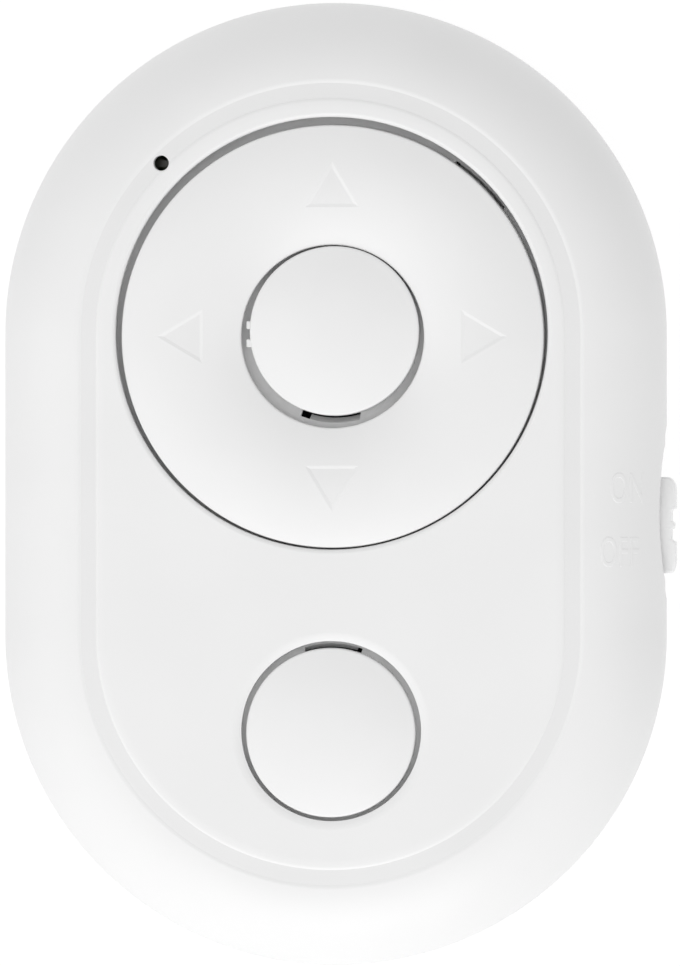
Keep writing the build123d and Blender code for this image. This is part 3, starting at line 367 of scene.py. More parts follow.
def arc(centre: Point, radius: float, start: float, end: float, steps: int = 8) -> list[Point]:
    """Gives points on an arc.

    Args:
        centre: Centre of the arc.
        radius: Its radius.
        start: First angle, in degrees.
        end: Last angle, in degrees.
        steps: Number of parts.

    Returns:
        Points from the first angle to the last, both included.
    """
    angles = [start + (end - start) * step / steps for step in range(steps + 1)]
    return [polar(centre, radius, angle) for angle in angles]


def stepped(start: Point, *values: float) -> list[Point]:
    """Draws a section in steps, by turns straight up or down and straight across.

    Args:
        start: First point, as distance from the axis, and height.
        values: By turns the next height and the next distance.

    Returns:
        The first point, and one more for each value.
    """
    points = [start]
    for index, value in enumerate(values):
        reach, height = points[-1]
        points.append((value, height) if index % 2 else (reach, value))
    return points


def crowned_edge(
    middle: float, crown_radius: float, crest: float, wall: float, rounding: float
) -> tuple[Point, float]:
    """Finds the rounding between a crowned top and an upright wall outside it.

    Args:
        middle: Distance of the crown's centre from the axis.
        crown_radius: Radius of the crown.
        crest: Height of the crown's highest point.
        wall: Distance of the wall from the axis.
        rounding: Radius of the rounding.

    Returns:
        Centre of the rounding, and the angle in degrees at which it meets the crown.
    """
    across = wall - rounding - middle
    up = math.sqrt((crown_radius - rounding) ** 2 - across**2)
    angle = math.degrees(math.atan2(up, across))
    return (wall - rounding, crest - crown_radius + up), angle


def ring_sector(
    centre: Point, inner: float, outer: float, width: float, angle: float
) -> list[Point]:
    """Outlines a part of a flat ring.

    Args:
        centre: Centre of the ring in the plan.
        inner: Inner radius.
        outer: Outer radius.
        width: Width of the part, measured across its direction.
        angle: Direction of its middle, in degrees.

    Returns:
        Outline, anticlockwise.
    """
    wide = math.degrees(math.asin(width / 2 / outer))
    narrow = math.degrees(math.asin(width / 2 / inner))
    back = arc(centre, inner, angle + narrow, angle - narrow)
    return arc(centre, outer, angle - wide, angle + wide) + back


def slot_outline(length: float, width: float) -> list[Point]:
    """Outlines a slot with round ends along X, about the origin, anticlockwise."""
    reach = (length - width) / 2
    return arc((reach, 0.0), width / 2, -90, 90, 12) + arc((-reach, 0.0), width / 2, 90, 270, 12)


def box_outline(centre: Point, length: float, width: float, rounding: float = 0.0) -> list[Point]:
    """Outlines a rectangle, with round corners if wanted.

    Args:
        centre: Middle of the rectangle.
        length: Size along X.
        width: Size along Y.
        rounding: Radius of the corners.

    Returns:
        Outline, anticlockwise.
    """
    corners = []
    for turn, (side, end) in enumerate(((1, 1), (-1, 1), (-1, -1), (1, -1))):
        corner = (centre[0] + side * (length / 2 - rounding),
                  centre[1] + end * (width / 2 - rounding))
        if rounding > 0:
            corners += arc(corner, rounding, 90 * turn, 90 * turn + 90, 6)
        else:
            corners.append(corner)
    return corners


def inset(outline: list[Point], distance: float) -> list[Point]:
    """Moves an anticlockwise outline inwards.

    Args:
        outline: Points of the outline.
        distance: How far each side moves; outwards if negative.

    Returns:
        The moved outline, with as many points.
    """
    # Keeps a sharp corner from moving further than about three times the distance
    least_share = 0.35
    moved = []
    for index, here in enumerate(outline):
        before = Vector(outline[index - 1])
        after = Vector(outline[(index + 1) % len(outline)])
        first = (Vector(here) - before).normalized()
        second = (after - Vector(here)).normalized()
        side = Vector((-first.y - second.y, first.x + second.x))
        side.normalize()
        share = max(least_share, side.dot(Vector((-first.y, first.x))))
        moved.append(tuple(Vector(here) + side * (distance / share)))
    return moved


def divided(outline: list[Point], parts: int) -> list[Point]:
    """Divides each side of an outline into equal parts.

    Args:
        outline: Points of the outline.
        parts: Number of parts of each side.

    Returns:
        The same outline with more points.
    """
    points = []
    for here, after in zip(outline, outline[1:] + outline[:1]):
        for step in range(parts):
            points.append(tuple(Vector(here).lerp(Vector(after), step / parts)))
    return points


def place_object(name: str, data: bpy.types.ID) -> Piece:
    """Puts a new object into the scene.

    Args:
        name: Name of the object.
        data: Its mesh, letters, light or camera.

    Returns:
        The object.
    """
    made = bpy.data.objects.new(name, data)
    bpy.context.scene.collection.objects.link(made)
    return made


def to_object(name: str, mesh: bmesh.types.BMesh) -> Piece:
    """Cleans a mesh in the making and puts it into the scene.

    Args:
        name: Name of the piece.
        mesh: The mesh, which is used up.

    Returns:
        Object with the mesh.
    """
    bmesh.ops.remove_doubles(mesh, verts=mesh.verts, dist=MERGE)
    bmesh.ops.recalc_face_normals(mesh, faces=mesh.faces)
    data = bpy.data.meshes.new(name)
    mesh.to_mesh(data)
    mesh.free()
    return place_object(name, data)


def sweep(name: str, section: list[Point], stations: list[Station], ring: bool = False) -> Piece:
    """Carries a section round an outline.

    Args:
        name: Name of the piece.
        section: Points as distance from the station's base, and height.
        stations: The outline.
        ring: True for a section that is closed in itself, False for one that starts and
            ends on the bases and is closed there.

    Returns:
        Closed solid in millimetres.
    """
    mesh = bmesh.new()
    rows = []
    for station in stations:
        rows.append([
            mesh.verts.new((
                station.base[0] + reach * station.way[0],
                station.base[1] + reach * station.way[1],
                height,
            ))
            for reach, height in section
        ])
    parts = len(section) if ring else len(section) - 1
    for row, after in zip(rows, rows[1:] + rows[:1]):
        for low in range(parts):
            high = (low + 1) % len(section)
            mesh.faces.new((row[low], after[low], after[high], row[high]))
    return to_object(name, mesh)


def turned(
    name: str, section: list[Point], centre: Point = ORIGIN, ring: bool = False, steps: int = 192
) -> Piece:
    """Turns a section about an upright axis; see sweep."""
    return sweep(name, section, circle_stations(centre, steps), ring)


def cylinder(
    name: str, centre: Point, radius: float, low: float, high: float, steps: int = 64
) -> Piece:
    """Makes a round upright solid between two heights; see sweep."""
    section = [(0.0, low), *stepped((radius, low), high, 0.0)]
    return turned(name, section, centre, steps=steps)


def stack(name: str, layers: list[Layer], place: Matrix | None = None) -> Piece:
    """Joins outlines at different heights into a solid.

    Args:
        name: Name of the piece.
        layers: Outlines with as many points each, and their heights.
        place: Where the solid goes, if not as it is drawn.

    Returns:
        Closed solid in millimetres.
    """
    mesh = bmesh.new()
    rows = [[mesh.verts.new((*point, height)) for point in outline] for outline, height in layers]
    for low, high in zip(rows, rows[1:]):
        for index in range(len(low)):
            after = (index + 1) % len(low)
            mesh.faces.new((low[index], low[after], high[after], high[index]))
    mesh.faces.new(rows[0][::-1])
    mesh.faces.new(rows[-1])
    if place is not None:
        mesh.transform(place)
    return to_object(name, mesh)


def block(
    name: str, outline: list[Point], low: float, high: float, place: Matrix | None = None
) -> Piece:
    """Makes a straight solid on an outline, between two heights; see stack."""
    return stack(name, [(outline, low), (outline, high)], place)


class Work(Enum):
    """What a tool does to a piece."""

    CUT = "DIFFERENCE"
    WELD = "UNION"


def evaluated_mesh(piece: Piece) -> bpy.types.Mesh:
    """Makes a mesh of a piece as it looks with its modifiers."""
    graph = bpy.context.evaluated_depsgraph_get()
    return bpy.data.meshes.new_from_object(piece.evaluated_get(graph))


def settle(piece: Piece) -> None:
    """Applies a piece's modifiers to its mesh.

    Args:
        piece: The piece.
    """
    mesh = evaluated_mesh(piece)
    old = piece.data
    piece.modifiers.clear()
    piece.data = mesh
    bpy.data.meshes.remove(old)


def work(piece: Piece, how: Work, *tools: Piece) -> None:
    """Cuts solids from a piece or welds them to it, and uses them up.

    Args:
        piece: The piece.
        how: Whether to cut or to weld.
        tools: The solids.
    """
    for tool in tools:
        step = piece.modifiers.new(how.name.lower(), "BOOLEAN")
        step.operation = how.value
        step.solver = "EXACT"
        step.object = tool
        settle(piece)
        bpy.data.meshes.remove(tool.data)


def soften(piece: Piece, sharp_angle: float) -> None:
    """Shades a piece smooth between its sharp edges.

    Args:
        piece: The piece.
        sharp_angle: Edges that turn by more degrees than this stay sharp.
    """
    mesh = bmesh.new()
    mesh.from_mesh(piece.data)
    bmesh.ops.dissolve_degenerate(mesh, edges=mesh.edges, dist=MERGE)
    for face in mesh.faces:
        face.smooth = True
    for edge in mesh.edges:
        edge.smooth = edge.calc_face_angle(0.0) < math.radians(sharp_angle)
    mesh.to_mesh(piece.data)
    mesh.free()
    level = piece.modifiers.new("flat_faces_stay_flat", "WEIGHTED_NORMAL")
    level.mode = "FACE_AREA"
    level.weight = 90
    level.keep_sharp = True
    settle(piece)


def dress(piece: Piece, finish: Finish) -> None:
    """Gives a piece its finish, in place of any other."""
    piece.data.materials.clear()
    piece.data.materials.append(finish.material())


def seat(
    piece: Piece, body: str | None, slot: str, finish: Finish, *nodes: str,
    sharp_angle: float = 32.0,
) -> Piece:
    """Shades a piece, brings it to metres, dresses it and lets it ride on its body.

    Args:
        piece: Piece in millimetres.
        body: Body that it moves with, or None for a piece that is left unattached.
        slot: Name of the material slot; not used.
        finish: Its finish.
        nodes: Nodes of the frame that it stands for.
        sharp_angle: Edges that turn by more degrees than this stay sharp.

    Returns:
        The same piece.
    """
    soften(piece, sharp_angle)
    piece.data.transform(Matrix.Scale(MILLIMETRE, 4))
    dress(piece, finish)
    if body:
        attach(piece, body)
    if nodes:
        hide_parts(*nodes)
    LOG.info("%s on %s, %s, %d faces", piece.name, body or "two bodies", finish.name,
             len(piece.data.polygons))
    return piece


def dress_part(piece: Piece, finish: Finish, chosen: Callable[[Vector, Vector], bool]) -> None:
    """Gives some faces of a seated piece another finish.

    Args:
        piece: The seated piece, in metres.
        finish: The other finish.
        chosen: Tells from a face's middle, in millimetres, and its normal if it gets the finish.
    """
    piece.data.materials.append(finish.material())
    for face in piece.data.polygons:
        if chosen(face.center / MILLIMETRE, face.normal):
            face.material_index = len(piece.data.materials) - 1


# Sub-assemblies


@dataclass(frozen=True)
class BodyPlan:
    """Sizes that more than one sub-assembly is set out from, in millimetres."""

    end_y: float = 9.4
    body_half: float = 20.6
    inner_half: float = 19.0
    wall: float = 1.6
    parting_z: float = 5.6
    ceiling_z: float = 10.0
    face_z: float = 11.6
    rim_round: float = 5.75
    rim_inner: float = 15.85
    rim_inner_z: float = 11.435
    board_bottom: float = 5.4
    board_top: float = 6.4
    screw_places: tuple[Point, ...] = ((0.0, 26.4), (12.021, -21.421), (-12.021, -21.421))
    lamp_place: Point = (-10.548, 19.971)
    ring_hole: Point = (0.06, 9.38)
    ring_hole_radius: float = 13.45
    ring_centre: Point = (0.125, 9.18)
    centre_key: Point = (0.24, 9.53)
    shutter_hole: Point = (0.04, -15.36)
    shutter_key: Point = (0.01, -15.46)
    key_post_circle: float = 9.435
    slide_y: float = -1.76
    slide_z: float = 4.7

    def rim_centre(self) -> Point:
        """Finds the centre of the rim's round section.

        Returns:
            Distance from the spine, and height.
        """
        across = self.body_half - self.rim_round
        rise = math.sqrt(self.rim_round**2 - (self.rim_inner - across) ** 2)
        return across, self.rim_inner_z - rise

    def rim_start(self) -> float:
        """Angle in degrees at which the rim's round section starts, beside the groove."""
        return math.degrees(math.acos((self.rim_inner - self.rim_centre()[0]) / self.rim_round))

    def rim_height(self, across: float) -> float:
        """Height of the rim on the straight sides, at a distance from the long middle line."""
        centre = self.rim_centre()
        return centre[1] + math.sqrt(self.rim_round**2 - (across - centre[0]) ** 2)

    def key_places(self) -> list[Point]:
        """Middles of the six key domes in the plan."""
        posts = arc(self.ring_centre, self.key_post_circle, 0, 270, 3)
        return [*posts, self.centre_key, self.shutter_key]


@dataclass(frozen=True)
class IndexDot:
    """Small round dent in the back that marks a place of the lid."""

    radius: float = 0.45
    depth: float = 0.2
    bevel: float = 0.08
    from_edge: float = 1.3

    def tool(self, place: Point, face: float = 0.0) -> Piece:
        """Makes the solid that cuts the dent.

        Args:
            place: Middle of the dent in the plan.
            face: Height of the face that it lies in.

        Returns:
            Tool to cut with.
        """
        floor = face + self.depth
        section = [
            (0.0, -CLEAR), (self.radius, -CLEAR), (self.radius, floor - self.bevel),
            (self.radius - self.bevel, floor), (0.0, floor),
        ]
        return turned("dot", section, place, steps=48)


@dataclass
class Shells:
    """The two halves of the housing, with the raised words beside the slide."""

    plan: BodyPlan
    groove_half: float = 15.55
    panel_half: float = 14.6
    panel_roll: float = 3.0
    panel_roll_angle: float = 8.6
    panel_bevel: float = 0.45
    panel_bevel_angle: float = 36.0
    rim_lip: float = 0.6
    rim_lip_angle: float = 11.0
    seam: float = 0.15
    tongue: float = 0.7
    tongue_depth: float = 1.0
    tongue_gap: float = 0.1
    ring_hole_round: float = 0.3
    ring_hole_foot: float = 5.0
    ring_recess: float = 14.4
    ring_recess_z: float = 10.42
    shutter_hole_radius: float = 5.6
    shutter_dish: float = 1.3
    shutter_dish_angle: float = 30.0
    shutter_recess: float = 7.0
    shutter_recess_z: float = 10.42
    hole_foot: float = 9.4
    lamp_hole: float = 0.475
    lamp_hole_round: float = 0.06
    back_round: float = 3.4
    back_edge: float = 0.12
    scoop_depth: float = 0.33
    scoop_half: float = 4.3
    scoop_overrun: float = 1.25
    back_scoop: float = 0.22
    slot_length: float = 8.0
    slot_height: float = 3.0
    slot_round: float = 0.12
    slot_inward: float = 0.8
    slot_outward: float = 1.4
    switch_x: float = 15.55
    switch_width: float = 3.3
    switch_length: float = 7.3
    switch_low: float = 2.55
    switch_high: float = 6.0
    boss_radius: float = 1.9
    boss_foot: float = 1.0
    head_recess: float = 1.75
    shank_hole: float = 0.95
    shank_top: float = 7.0
    lid_hole: float = 12.75
    lid_hole_top: float = 3.0
    ledge_radius: float = 11.1
    ledge_z: float = 1.35
    ledge_thickness: float = 0.45
    chamber_radius: float = 12.15
    chamber_top: float = 2.55
    guide_radius: float = 10.35
    well_radius: float = 13.85
    well_top: float = 4.8
    dot: IndexDot = IndexDot()
    dot_angles: tuple[int, ...] = (90, 50)
    word_height: float = 1.9
    capital_share: float = 0.729
    word_spacing: float = 1.05
    word_narrowing: float = 0.5
    word_edge: float = 0.06
    word_flattening: float = 0.55
    word_longest_edge: float = 0.3
    on_place: Point = (18.45, -0.34)
    off_place: Point = (17.95, -4.33)

    def scoop(self, deeper: float = 0.0) -> Piece:
        """Hollow in the right-hand edge that lets a thumb reach the slide.

        Args:
            deeper: How much further in it goes than on the face shell.

        Returns:
            Tool to cut with.
        """
        radius = (self.scoop_half**2 + self.scoop_depth**2) / (2 * self.scoop_depth)
        middle = self.plan.body_half - self.scoop_depth - deeper + radius
        reach = math.degrees(math.asin(self.scoop_overrun * self.scoop_half / radius))
        curve = arc((middle, self.plan.slide_y), radius, 180 + reach, 180 - reach, 96)
        outline = [*curve, (middle, curve[-1][1]), (middle, curve[0][1])][::-1]
        return block("scoop", outline, -CLEAR, self.plan.face_z + CLEAR)

    def slide_slot(self) -> Piece:
        """Opening in the right-hand edge for the slide's knob.

        Returns:
            Tool to cut with.
        """
        middle = (self.plan.slide_y, self.plan.slide_z)
        outline = box_outline(middle, self.slot_length, self.slot_height, self.slot_round)
        upright = Matrix(((0, 0, 1, 0), (1, 0, 0, 0), (0, 1, 0, 0), (0, 0, 0, 1)))
        near = self.plan.inner_half - self.slot_inward
        far = self.plan.body_half + self.slot_outward
        return block("slide_slot", outline, near, far, upright)

    def flared_hole(
        self, name: str, centre: Point, radius: float, rounding: float, face: float, foot: float,
        turn: float = 90.0,
    ) -> Piece:
        """Round hole whose upper edge is rounded over.

        Args:
            name: Name of the tool.
            centre: Middle of the hole.
            radius: Its radius.
            rounding: Radius of the rounded edge.
            face: Height of the face that it goes through.
            foot: Height at which it ends.
            turn: Degrees that the edge turns down before it drops into the hole.

        Returns:
            Tool to cut with.
        """
        reach = radius + rounding * math.sin(math.radians(turn))
        edge = arc((reach, face - rounding + HAIR), rounding, 90 + turn, 90, 10)
        top = face + CLEAR
        section = [(0.0, foot), (radius, foot), *edge, (reach, top), (0.0, top)]
        return turned(name, section, centre, steps=256)

    def panel_edge(self) -> list[Point]:
        """Edge of the raised panel: a slight roll-off that ends in a soft bevel.

        Returns:
            Points as distance from the spine, and height.
        """
        turn = math.radians(self.panel_roll_angle)
        bevel_turn = math.radians(self.panel_bevel_angle)
        reach = self.panel_half - self.panel_bevel * (math.sin(bevel_turn) - math.sin(turn))
        roll_start = reach - self.panel_roll * math.sin(turn)
        roll = arc((roll_start, self.plan.face_z - self.panel_roll), self.panel_roll,
                   90, 90 - self.panel_roll_angle, 6)
        middle = (roll[-1][0] - self.panel_bevel * math.sin(turn),
                  roll[-1][1] - self.panel_bevel * math.cos(turn))
        bevel = arc(middle, self.panel_bevel, 90 - self.panel_roll_angle,
                    90 - self.panel_bevel_angle, 6)
        return roll + bevel[1:]

    def rim_edge(self) -> list[Point]:
        """Edge of the rim beside the groove: a low ramp that rolls over into the rim.

        Returns:
            Points as distance from the spine, and height, from the groove to the rim's start.
        """
        start = self.plan.rim_start()
        middle = polar(self.plan.rim_centre(), self.plan.rim_round - self.rim_lip, start)
        lip = arc(middle, self.rim_lip, 90 + self.rim_lip_angle, start, 5)
        fall = (lip[0][0] - self.groove_half) * math.tan(math.radians(self.rim_lip_angle))
        return [(self.groove_half, lip[0][1] - fall), *lip]

    def in_groove(self, middle: Vector, normal: Vector) -> bool:
        """Tells if a face of the shell belongs to the groove's floor; see dress_part.

        Args:
            middle: Middle of the face, in millimetres.
            normal: Normal of the face.

        Returns:
            True for the groove's floor.
        """
        reach = math.hypot(middle.x, max(0.0, abs(middle.y) - self.plan.end_y))
        outside = normal.z > LEVEL and middle.z > (self.plan.ceiling_z + self.plan.face_z) / 2
        return outside and self.panel_half < reach < self.groove_half

    def upper(self) -> Piece:
        """Face shell: wide round rim, groove, raised panel and the openings for the keys.

        Returns:
            The seated piece.
        """
        plan = self.plan
        face = plan.face_z
        lip = plan.inner_half + self.tongue
        lip_z = plan.parting_z - self.tongue_depth
        centre = plan.rim_centre()
        inner_round = plan.rim_round - plan.wall
        meet = math.asin(min(1.0, (plan.ceiling_z - centre[1]) / inner_round))
        ceiling = centre[1] + inner_round * math.sin(meet)
        panel_edge, rim_edge = self.panel_edge(), self.rim_edge()
        floor = (panel_edge[-1][1] + rim_edge[0][1]) / 2
        section = [(0.0, face), *panel_edge, *rim_edge]
        section += arc(centre, plan.rim_round, plan.rim_start(), 0, 36)[1:]
        section += [
            (plan.body_half, plan.parting_z + self.seam),
            (plan.body_half - self.seam, plan.parting_z),
            *stepped((lip, plan.parting_z), lip_z, plan.inner_half),
        ]
        section += arc(centre, inner_round, 0, math.degrees(meet), 12)
        section.append((0.0, ceiling))
        shell = sweep("upper_shell", section, obround_stations(plan.end_y))
        under = plan.ceiling_z - CLEAR
        work(
            shell, Work.CUT, self.scoop(), self.slide_slot(),
            self.flared_hole("ring_hole", plan.ring_hole, plan.ring_hole_radius,
                             self.ring_hole_round, face, self.ring_hole_foot),
            self.flared_hole("key_hole", plan.shutter_hole, self.shutter_hole_radius,
                             self.shutter_dish, face, self.hole_foot, self.shutter_dish_angle),
            self.flared_hole("lamp_hole", plan.lamp_place, self.lamp_hole,
                             self.lamp_hole_round, floor, self.hole_foot),
            cylinder("ring_recess", plan.ring_hole, self.ring_recess, under,
                     self.ring_recess_z, steps=192),
            cylinder("key_recess", plan.shutter_hole, self.shutter_recess, under,
                     self.shutter_recess_z, steps=192),
        )
        seat(shell, "housing", "housing_plastic", SATIN_ABS, "upper_housing", sharp_angle=12.0)
        # The groove's floor gets the greyer finish, whose colour is painted shade
        dress_part(shell, COARSE_SHADED_ABS, self.in_groove)
        return shell

    def lower(self) -> Piece:
        """Back shell with the cell's well, the screw bosses and the dots beside the lid.

        Returns:
            The seated piece.
        """
        plan = self.plan
        edge = self.back_edge
        low = plan.body_half - self.back_round
        groove = plan.inner_half + self.tongue + self.tongue_gap
        groove_z = plan.parting_z - self.tongue_depth - self.tongue_gap
        section = [(0.0, 0.0)]
        section += arc((low, self.back_round), self.back_round, -90, 0, 24)
        section += [
            (plan.body_half, plan.parting_z - self.seam),
            (plan.body_half - self.seam, plan.parting_z),
            *stepped((groove, plan.parting_z), groove_z, plan.inner_half),
        ]
        section += arc((low, self.back_round), self.back_round - plan.wall, 0, -90, 10)
        section.append((0.0, plan.wall))
        shell = sweep("lower_shell", section, obround_stations(plan.end_y))
        mouth = self.lid_hole + edge
        lid_opening = [(0.0, -CLEAR), (mouth, -CLEAR)]
        lid_opening += arc((mouth, edge - HAIR), edge, 270, 180, 5)
        lid_opening += [(self.lid_hole, self.lid_hole_top), (0.0, self.lid_hole_top)]
        work(shell, Work.CUT, turned("lid_opening", lid_opening, steps=256))
        ledge_top = self.ledge_z + self.ledge_thickness
        well = stepped(
            (self.well_radius, self.ledge_z), self.well_top, self.guide_radius, self.chamber_top,
            self.chamber_radius, ledge_top, self.ledge_radius, self.ledge_z,
        )
        bosses = [
            cylinder("boss", place, self.boss_radius, self.boss_foot, plan.board_bottom)
            for place in plan.screw_places
        ]
        work(shell, Work.WELD, turned("well", well, ring=True), *bosses)
        recess = [
            (0.0, -CLEAR), (self.head_recess + edge, -CLEAR), (self.head_recess + edge, 0.0),
            *stepped((self.head_recess, edge), plan.wall, self.shank_hole, self.shank_top, 0.0),
        ]
        recesses = [turned("recess", recess, place, steps=96) for place in plan.screw_places]
        dot_circle = self.lid_hole + self.dot.from_edge
        dots = [self.dot.tool(polar(ORIGIN, dot_circle, angle)) for angle in self.dot_angles]
        work(shell, Work.CUT, *recesses, *dots, self.scoop(self.back_scoop), self.slide_slot())
        room = box_outline((self.switch_x, plan.slide_y), self.switch_width, self.switch_length)
        work(shell, Work.CUT, block("switch_room", room, self.switch_low, self.switch_high))
        return seat(shell, "housing", "housing_plastic", SATIN_ABS, "lower_housing")

    def word(self, text: str, middle: Point) -> Piece:
        """Word in low relief that follows the slope of the rim.

        Args:
            text: The word.
            middle: Middle of the word in the plan.

        Returns:
            The seated piece.
        """
        name = f"slide_word_{text.lower()}"
        letters = bpy.data.curves.new(name, "FONT")
        letters.body = text
        letters.size = self.word_height / self.capital_share
        letters.align_x = "CENTER"
        letters.align_y = "CENTER"
        letters.space_character = self.word_spacing
        letters.bevel_depth = self.word_edge
        letters.bevel_resolution = 3
        letters.offset = -self.word_edge / 2
        drawn = place_object(name + "_letters", letters)
        bpy.context.view_layer.update()
        mesh = evaluated_mesh(drawn)
        bpy.data.objects.remove(drawn)
        shape = bmesh.new()
        shape.from_mesh(mesh)
        bpy.data.meshes.remove(mesh)
        long_edges = [edge for edge in shape.edges if edge.calc_length() > self.word_longest_edge]
        bmesh.ops.subdivide_edges(shape, edges=long_edges, cuts=3, use_grid_fill=True)
        for corner in shape.verts:
            corner.co.x = middle[0] + corner.co.x * self.word_narrowing
            corner.co.y += middle[1]
            corner.co.z = corner.co.z * self.word_flattening + self.plan.rim_height(corner.co.x)
        piece = to_object(name, shape)
        return seat(piece, "housing", "housing_plastic", SATIN_ABS, sharp_angle=40.0)

    def build(self) -> list[Piece]:
        """Builds both shells and the words.

        Returns:
            The seated pieces.
        """
        words = (("ON", self.on_place), ("OFF", self.off_place))
        return [self.upper(), self.lower(), *(self.word(text, place) for text, place in words)]


@dataclass(frozen=True)
class Notch:
    """Slit in a key's flange beside its wall, with a sloping side and a hole at one end."""

    angle: float
    width: float
    reach: float
    slit: float
    hole_width: float
    hole_side: int
    depth: float = 0.75

    def tools(self, centre: Point, wall: float, top: float, bottom: float) -> list[Piece]:
        """Makes the solids that cut the slit.

        Args:
            centre: Axis of the key in the plan.
            wall: Radius of the key's wall.
            top: Height of the flange's upper face.
            bottom: Height of its lower face.

        Returns:
            Tools to cut with.
        """
        outer = wall + self.reach
        lean = math.degrees(math.asin((self.width - self.hole_width) / 2 / wall))
        mouth = ring_sector(centre, wall, outer, self.width, self.angle)
        slit = ring_sector(centre, wall, wall + self.slit, self.width, self.angle)
        turned_to = self.angle + self.hole_side * lean
        hole = ring_sector(centre, wall, outer, self.hole_width, turned_to)
        above = top + HAIR
        foot = bottom - CLEAR
        return [
            stack("slit", [(slit, foot), (slit, top - self.depth), (mouth, above)]),
            block("slit_end", hole, foot, above),
        ]


@dataclass
class DirectionRing:
    """Rocking ring with four arrows."""

    plan: BodyPlan
    radius: float = 13.13
    bore: float = 5.69
    edge_z: float = 11.5
    crown: float = 0.72
    edge_round: float = 0.2
    wall_draft: float = 0.08
    skin: float = 1.5
    wall: float = 1.0
    flange_radius: float = 14.0
    flange_top: float = 9.82
    flange_bottom: float = 8.5
    tube_bottom: float = 10.7
    post_radius: float = 1.4
    post_bottom: float = 8.25
    post_bevel: float = 0.2
    post_root: float = 0.4
    notch: Notch = Notch(
        angle=45.9, width=4.15, reach=0.22, slit=0.04, hole_width=0.3, hole_side=1
    )
    arrow_base: float = 8.04
    arrow_tip: float = 10.86
    arrow_width: float = 3.4
    arrow_depth: float = 0.065
    arrow_draft: float = 0.19
    arrow_floor_rings: tuple[float, ...] = (0.95, 0.72, 0.48)
    arrow_side_parts: int = 12
    arrow_angles: tuple[int, ...] = (0, 90, 180, 270)

    def crown_radius(self) -> float:
        """Radius of the crowned face."""
        half = (self.radius - self.bore) / 2
        return (half**2 + self.crown**2) / (2 * self.crown)

    def crown_height(self, reach: float) -> float:
        """Gives the height of the crowned face.

        Args:
            reach: Distance from the ring's axis.

        Returns:
            The height there.
        """
        across = reach - (self.radius + self.bore) / 2
        fall = self.crown_radius() - math.sqrt(self.crown_radius() ** 2 - across**2)
        return self.edge_z + self.crown - fall

    def section(self) -> list[Point]:
        """Cross-section of the ring.

        Returns:
            Closed section as distance from the axis, and height.
        """
        middle = (self.radius + self.bore) / 2
        crest = self.edge_z + self.crown
        crown_radius = self.crown_radius()
        edge, meet = crowned_edge(middle, crown_radius, crest, self.radius, self.edge_round)
        inner_edge = (2 * middle - edge[0], edge[1])
        ceiling = crest - self.skin
        section = arc(inner_edge, self.edge_round, 180, 180 - meet, 12)
        section += arc((middle, crest - crown_radius), crown_radius, 180 - meet, meet, 40)[1:-1]
        section += arc(edge, self.edge_round, meet, 0, 12)
        section += [
            (self.radius + self.wall_draft, self.flange_top),
            *stepped((self.flange_radius, self.flange_top), self.flange_bottom,
                     self.radius - self.wall, ceiling, self.bore + self.wall, self.tube_bottom,
                     self.bore),
        ]
        return section

    def arrow(self, angle: float) -> Piece:
        """Shallow sunk triangle with sloping sides, laid along the crown.

        Args:
            angle: Direction in which it points, in degrees.

        Returns:
            Tool to cut with.
        """
        half = self.arrow_width / 2
        mouth = [(self.arrow_base, -half), (self.arrow_tip, 0.0), (self.arrow_base, half)]
        # Heights count from the crowned face. The floor is laid in rings, from the middle out,
        # so that it can follow the crown, and the sides go on at the same slope above it.
        backs = (*self.arrow_floor_rings, self.arrow_draft)
        floor_rings = [(back, -self.arrow_depth) for back in backs]
        sides = [(-self.arrow_draft, self.arrow_depth), (-self.arrow_draft, CLEAR)]
        layers = [
            (divided(inset(mouth, back), self.arrow_side_parts), height)
            for back, height in floor_rings + sides
        ]
        turn = Matrix.Rotation(math.radians(angle), 4, "Z")
        place = Matrix.Translation((*self.plan.ring_centre, 0.0)) @ turn
        tool = stack("arrow", layers, place)
        for corner in tool.data.vertices:
            reach = math.dist(corner.co.xy, self.plan.ring_centre)
            corner.co.z += self.crown_height(reach)
        return tool

    def on_arrow_floor(self, middle: Vector, normal: Vector) -> bool:
        """Tells if a face of the ring is the floor of an arrow; see dress_part."""
        sunk = self.crown_height(math.dist(middle.xy, self.plan.ring_centre)) - middle.z
        return normal.z > LEVEL and abs(sunk - self.arrow_depth) < self.arrow_depth / 4

    def build(self) -> Piece:
        """Builds the ring.

        Returns:
            The seated piece.
        """
        centre = self.plan.ring_centre
        ring = turned("direction_ring", self.section(), centre, ring=True, steps=256)
        root = self.edge_z + self.crown - self.skin + self.post_root
        post = [
            (0.0, self.post_bottom), (self.post_radius - self.post_bevel, self.post_bottom),
            (self.post_radius, self.post_bottom + self.post_bevel), (self.post_radius, root),
            (0.0, root),
        ]
        posts = self.plan.key_places()[:4]
        work(ring, Work.WELD, *(turned("post", post, place, steps=64) for place in posts))
        notch = self.notch.tools(centre, self.radius, self.flange_top, self.flange_bottom)
        work(ring, Work.CUT, *notch, *(self.arrow(angle) for angle in self.arrow_angles))
        seat(ring, "dpad", "key_plastic", KEY_ABS, "dpad_ring", sharp_angle=8.5)
        # The arrow floors get the greyer finish, whose colour is painted shade
        dress_part(ring, ETCHED_SHADED_ABS, self.on_arrow_floor)
        return ring


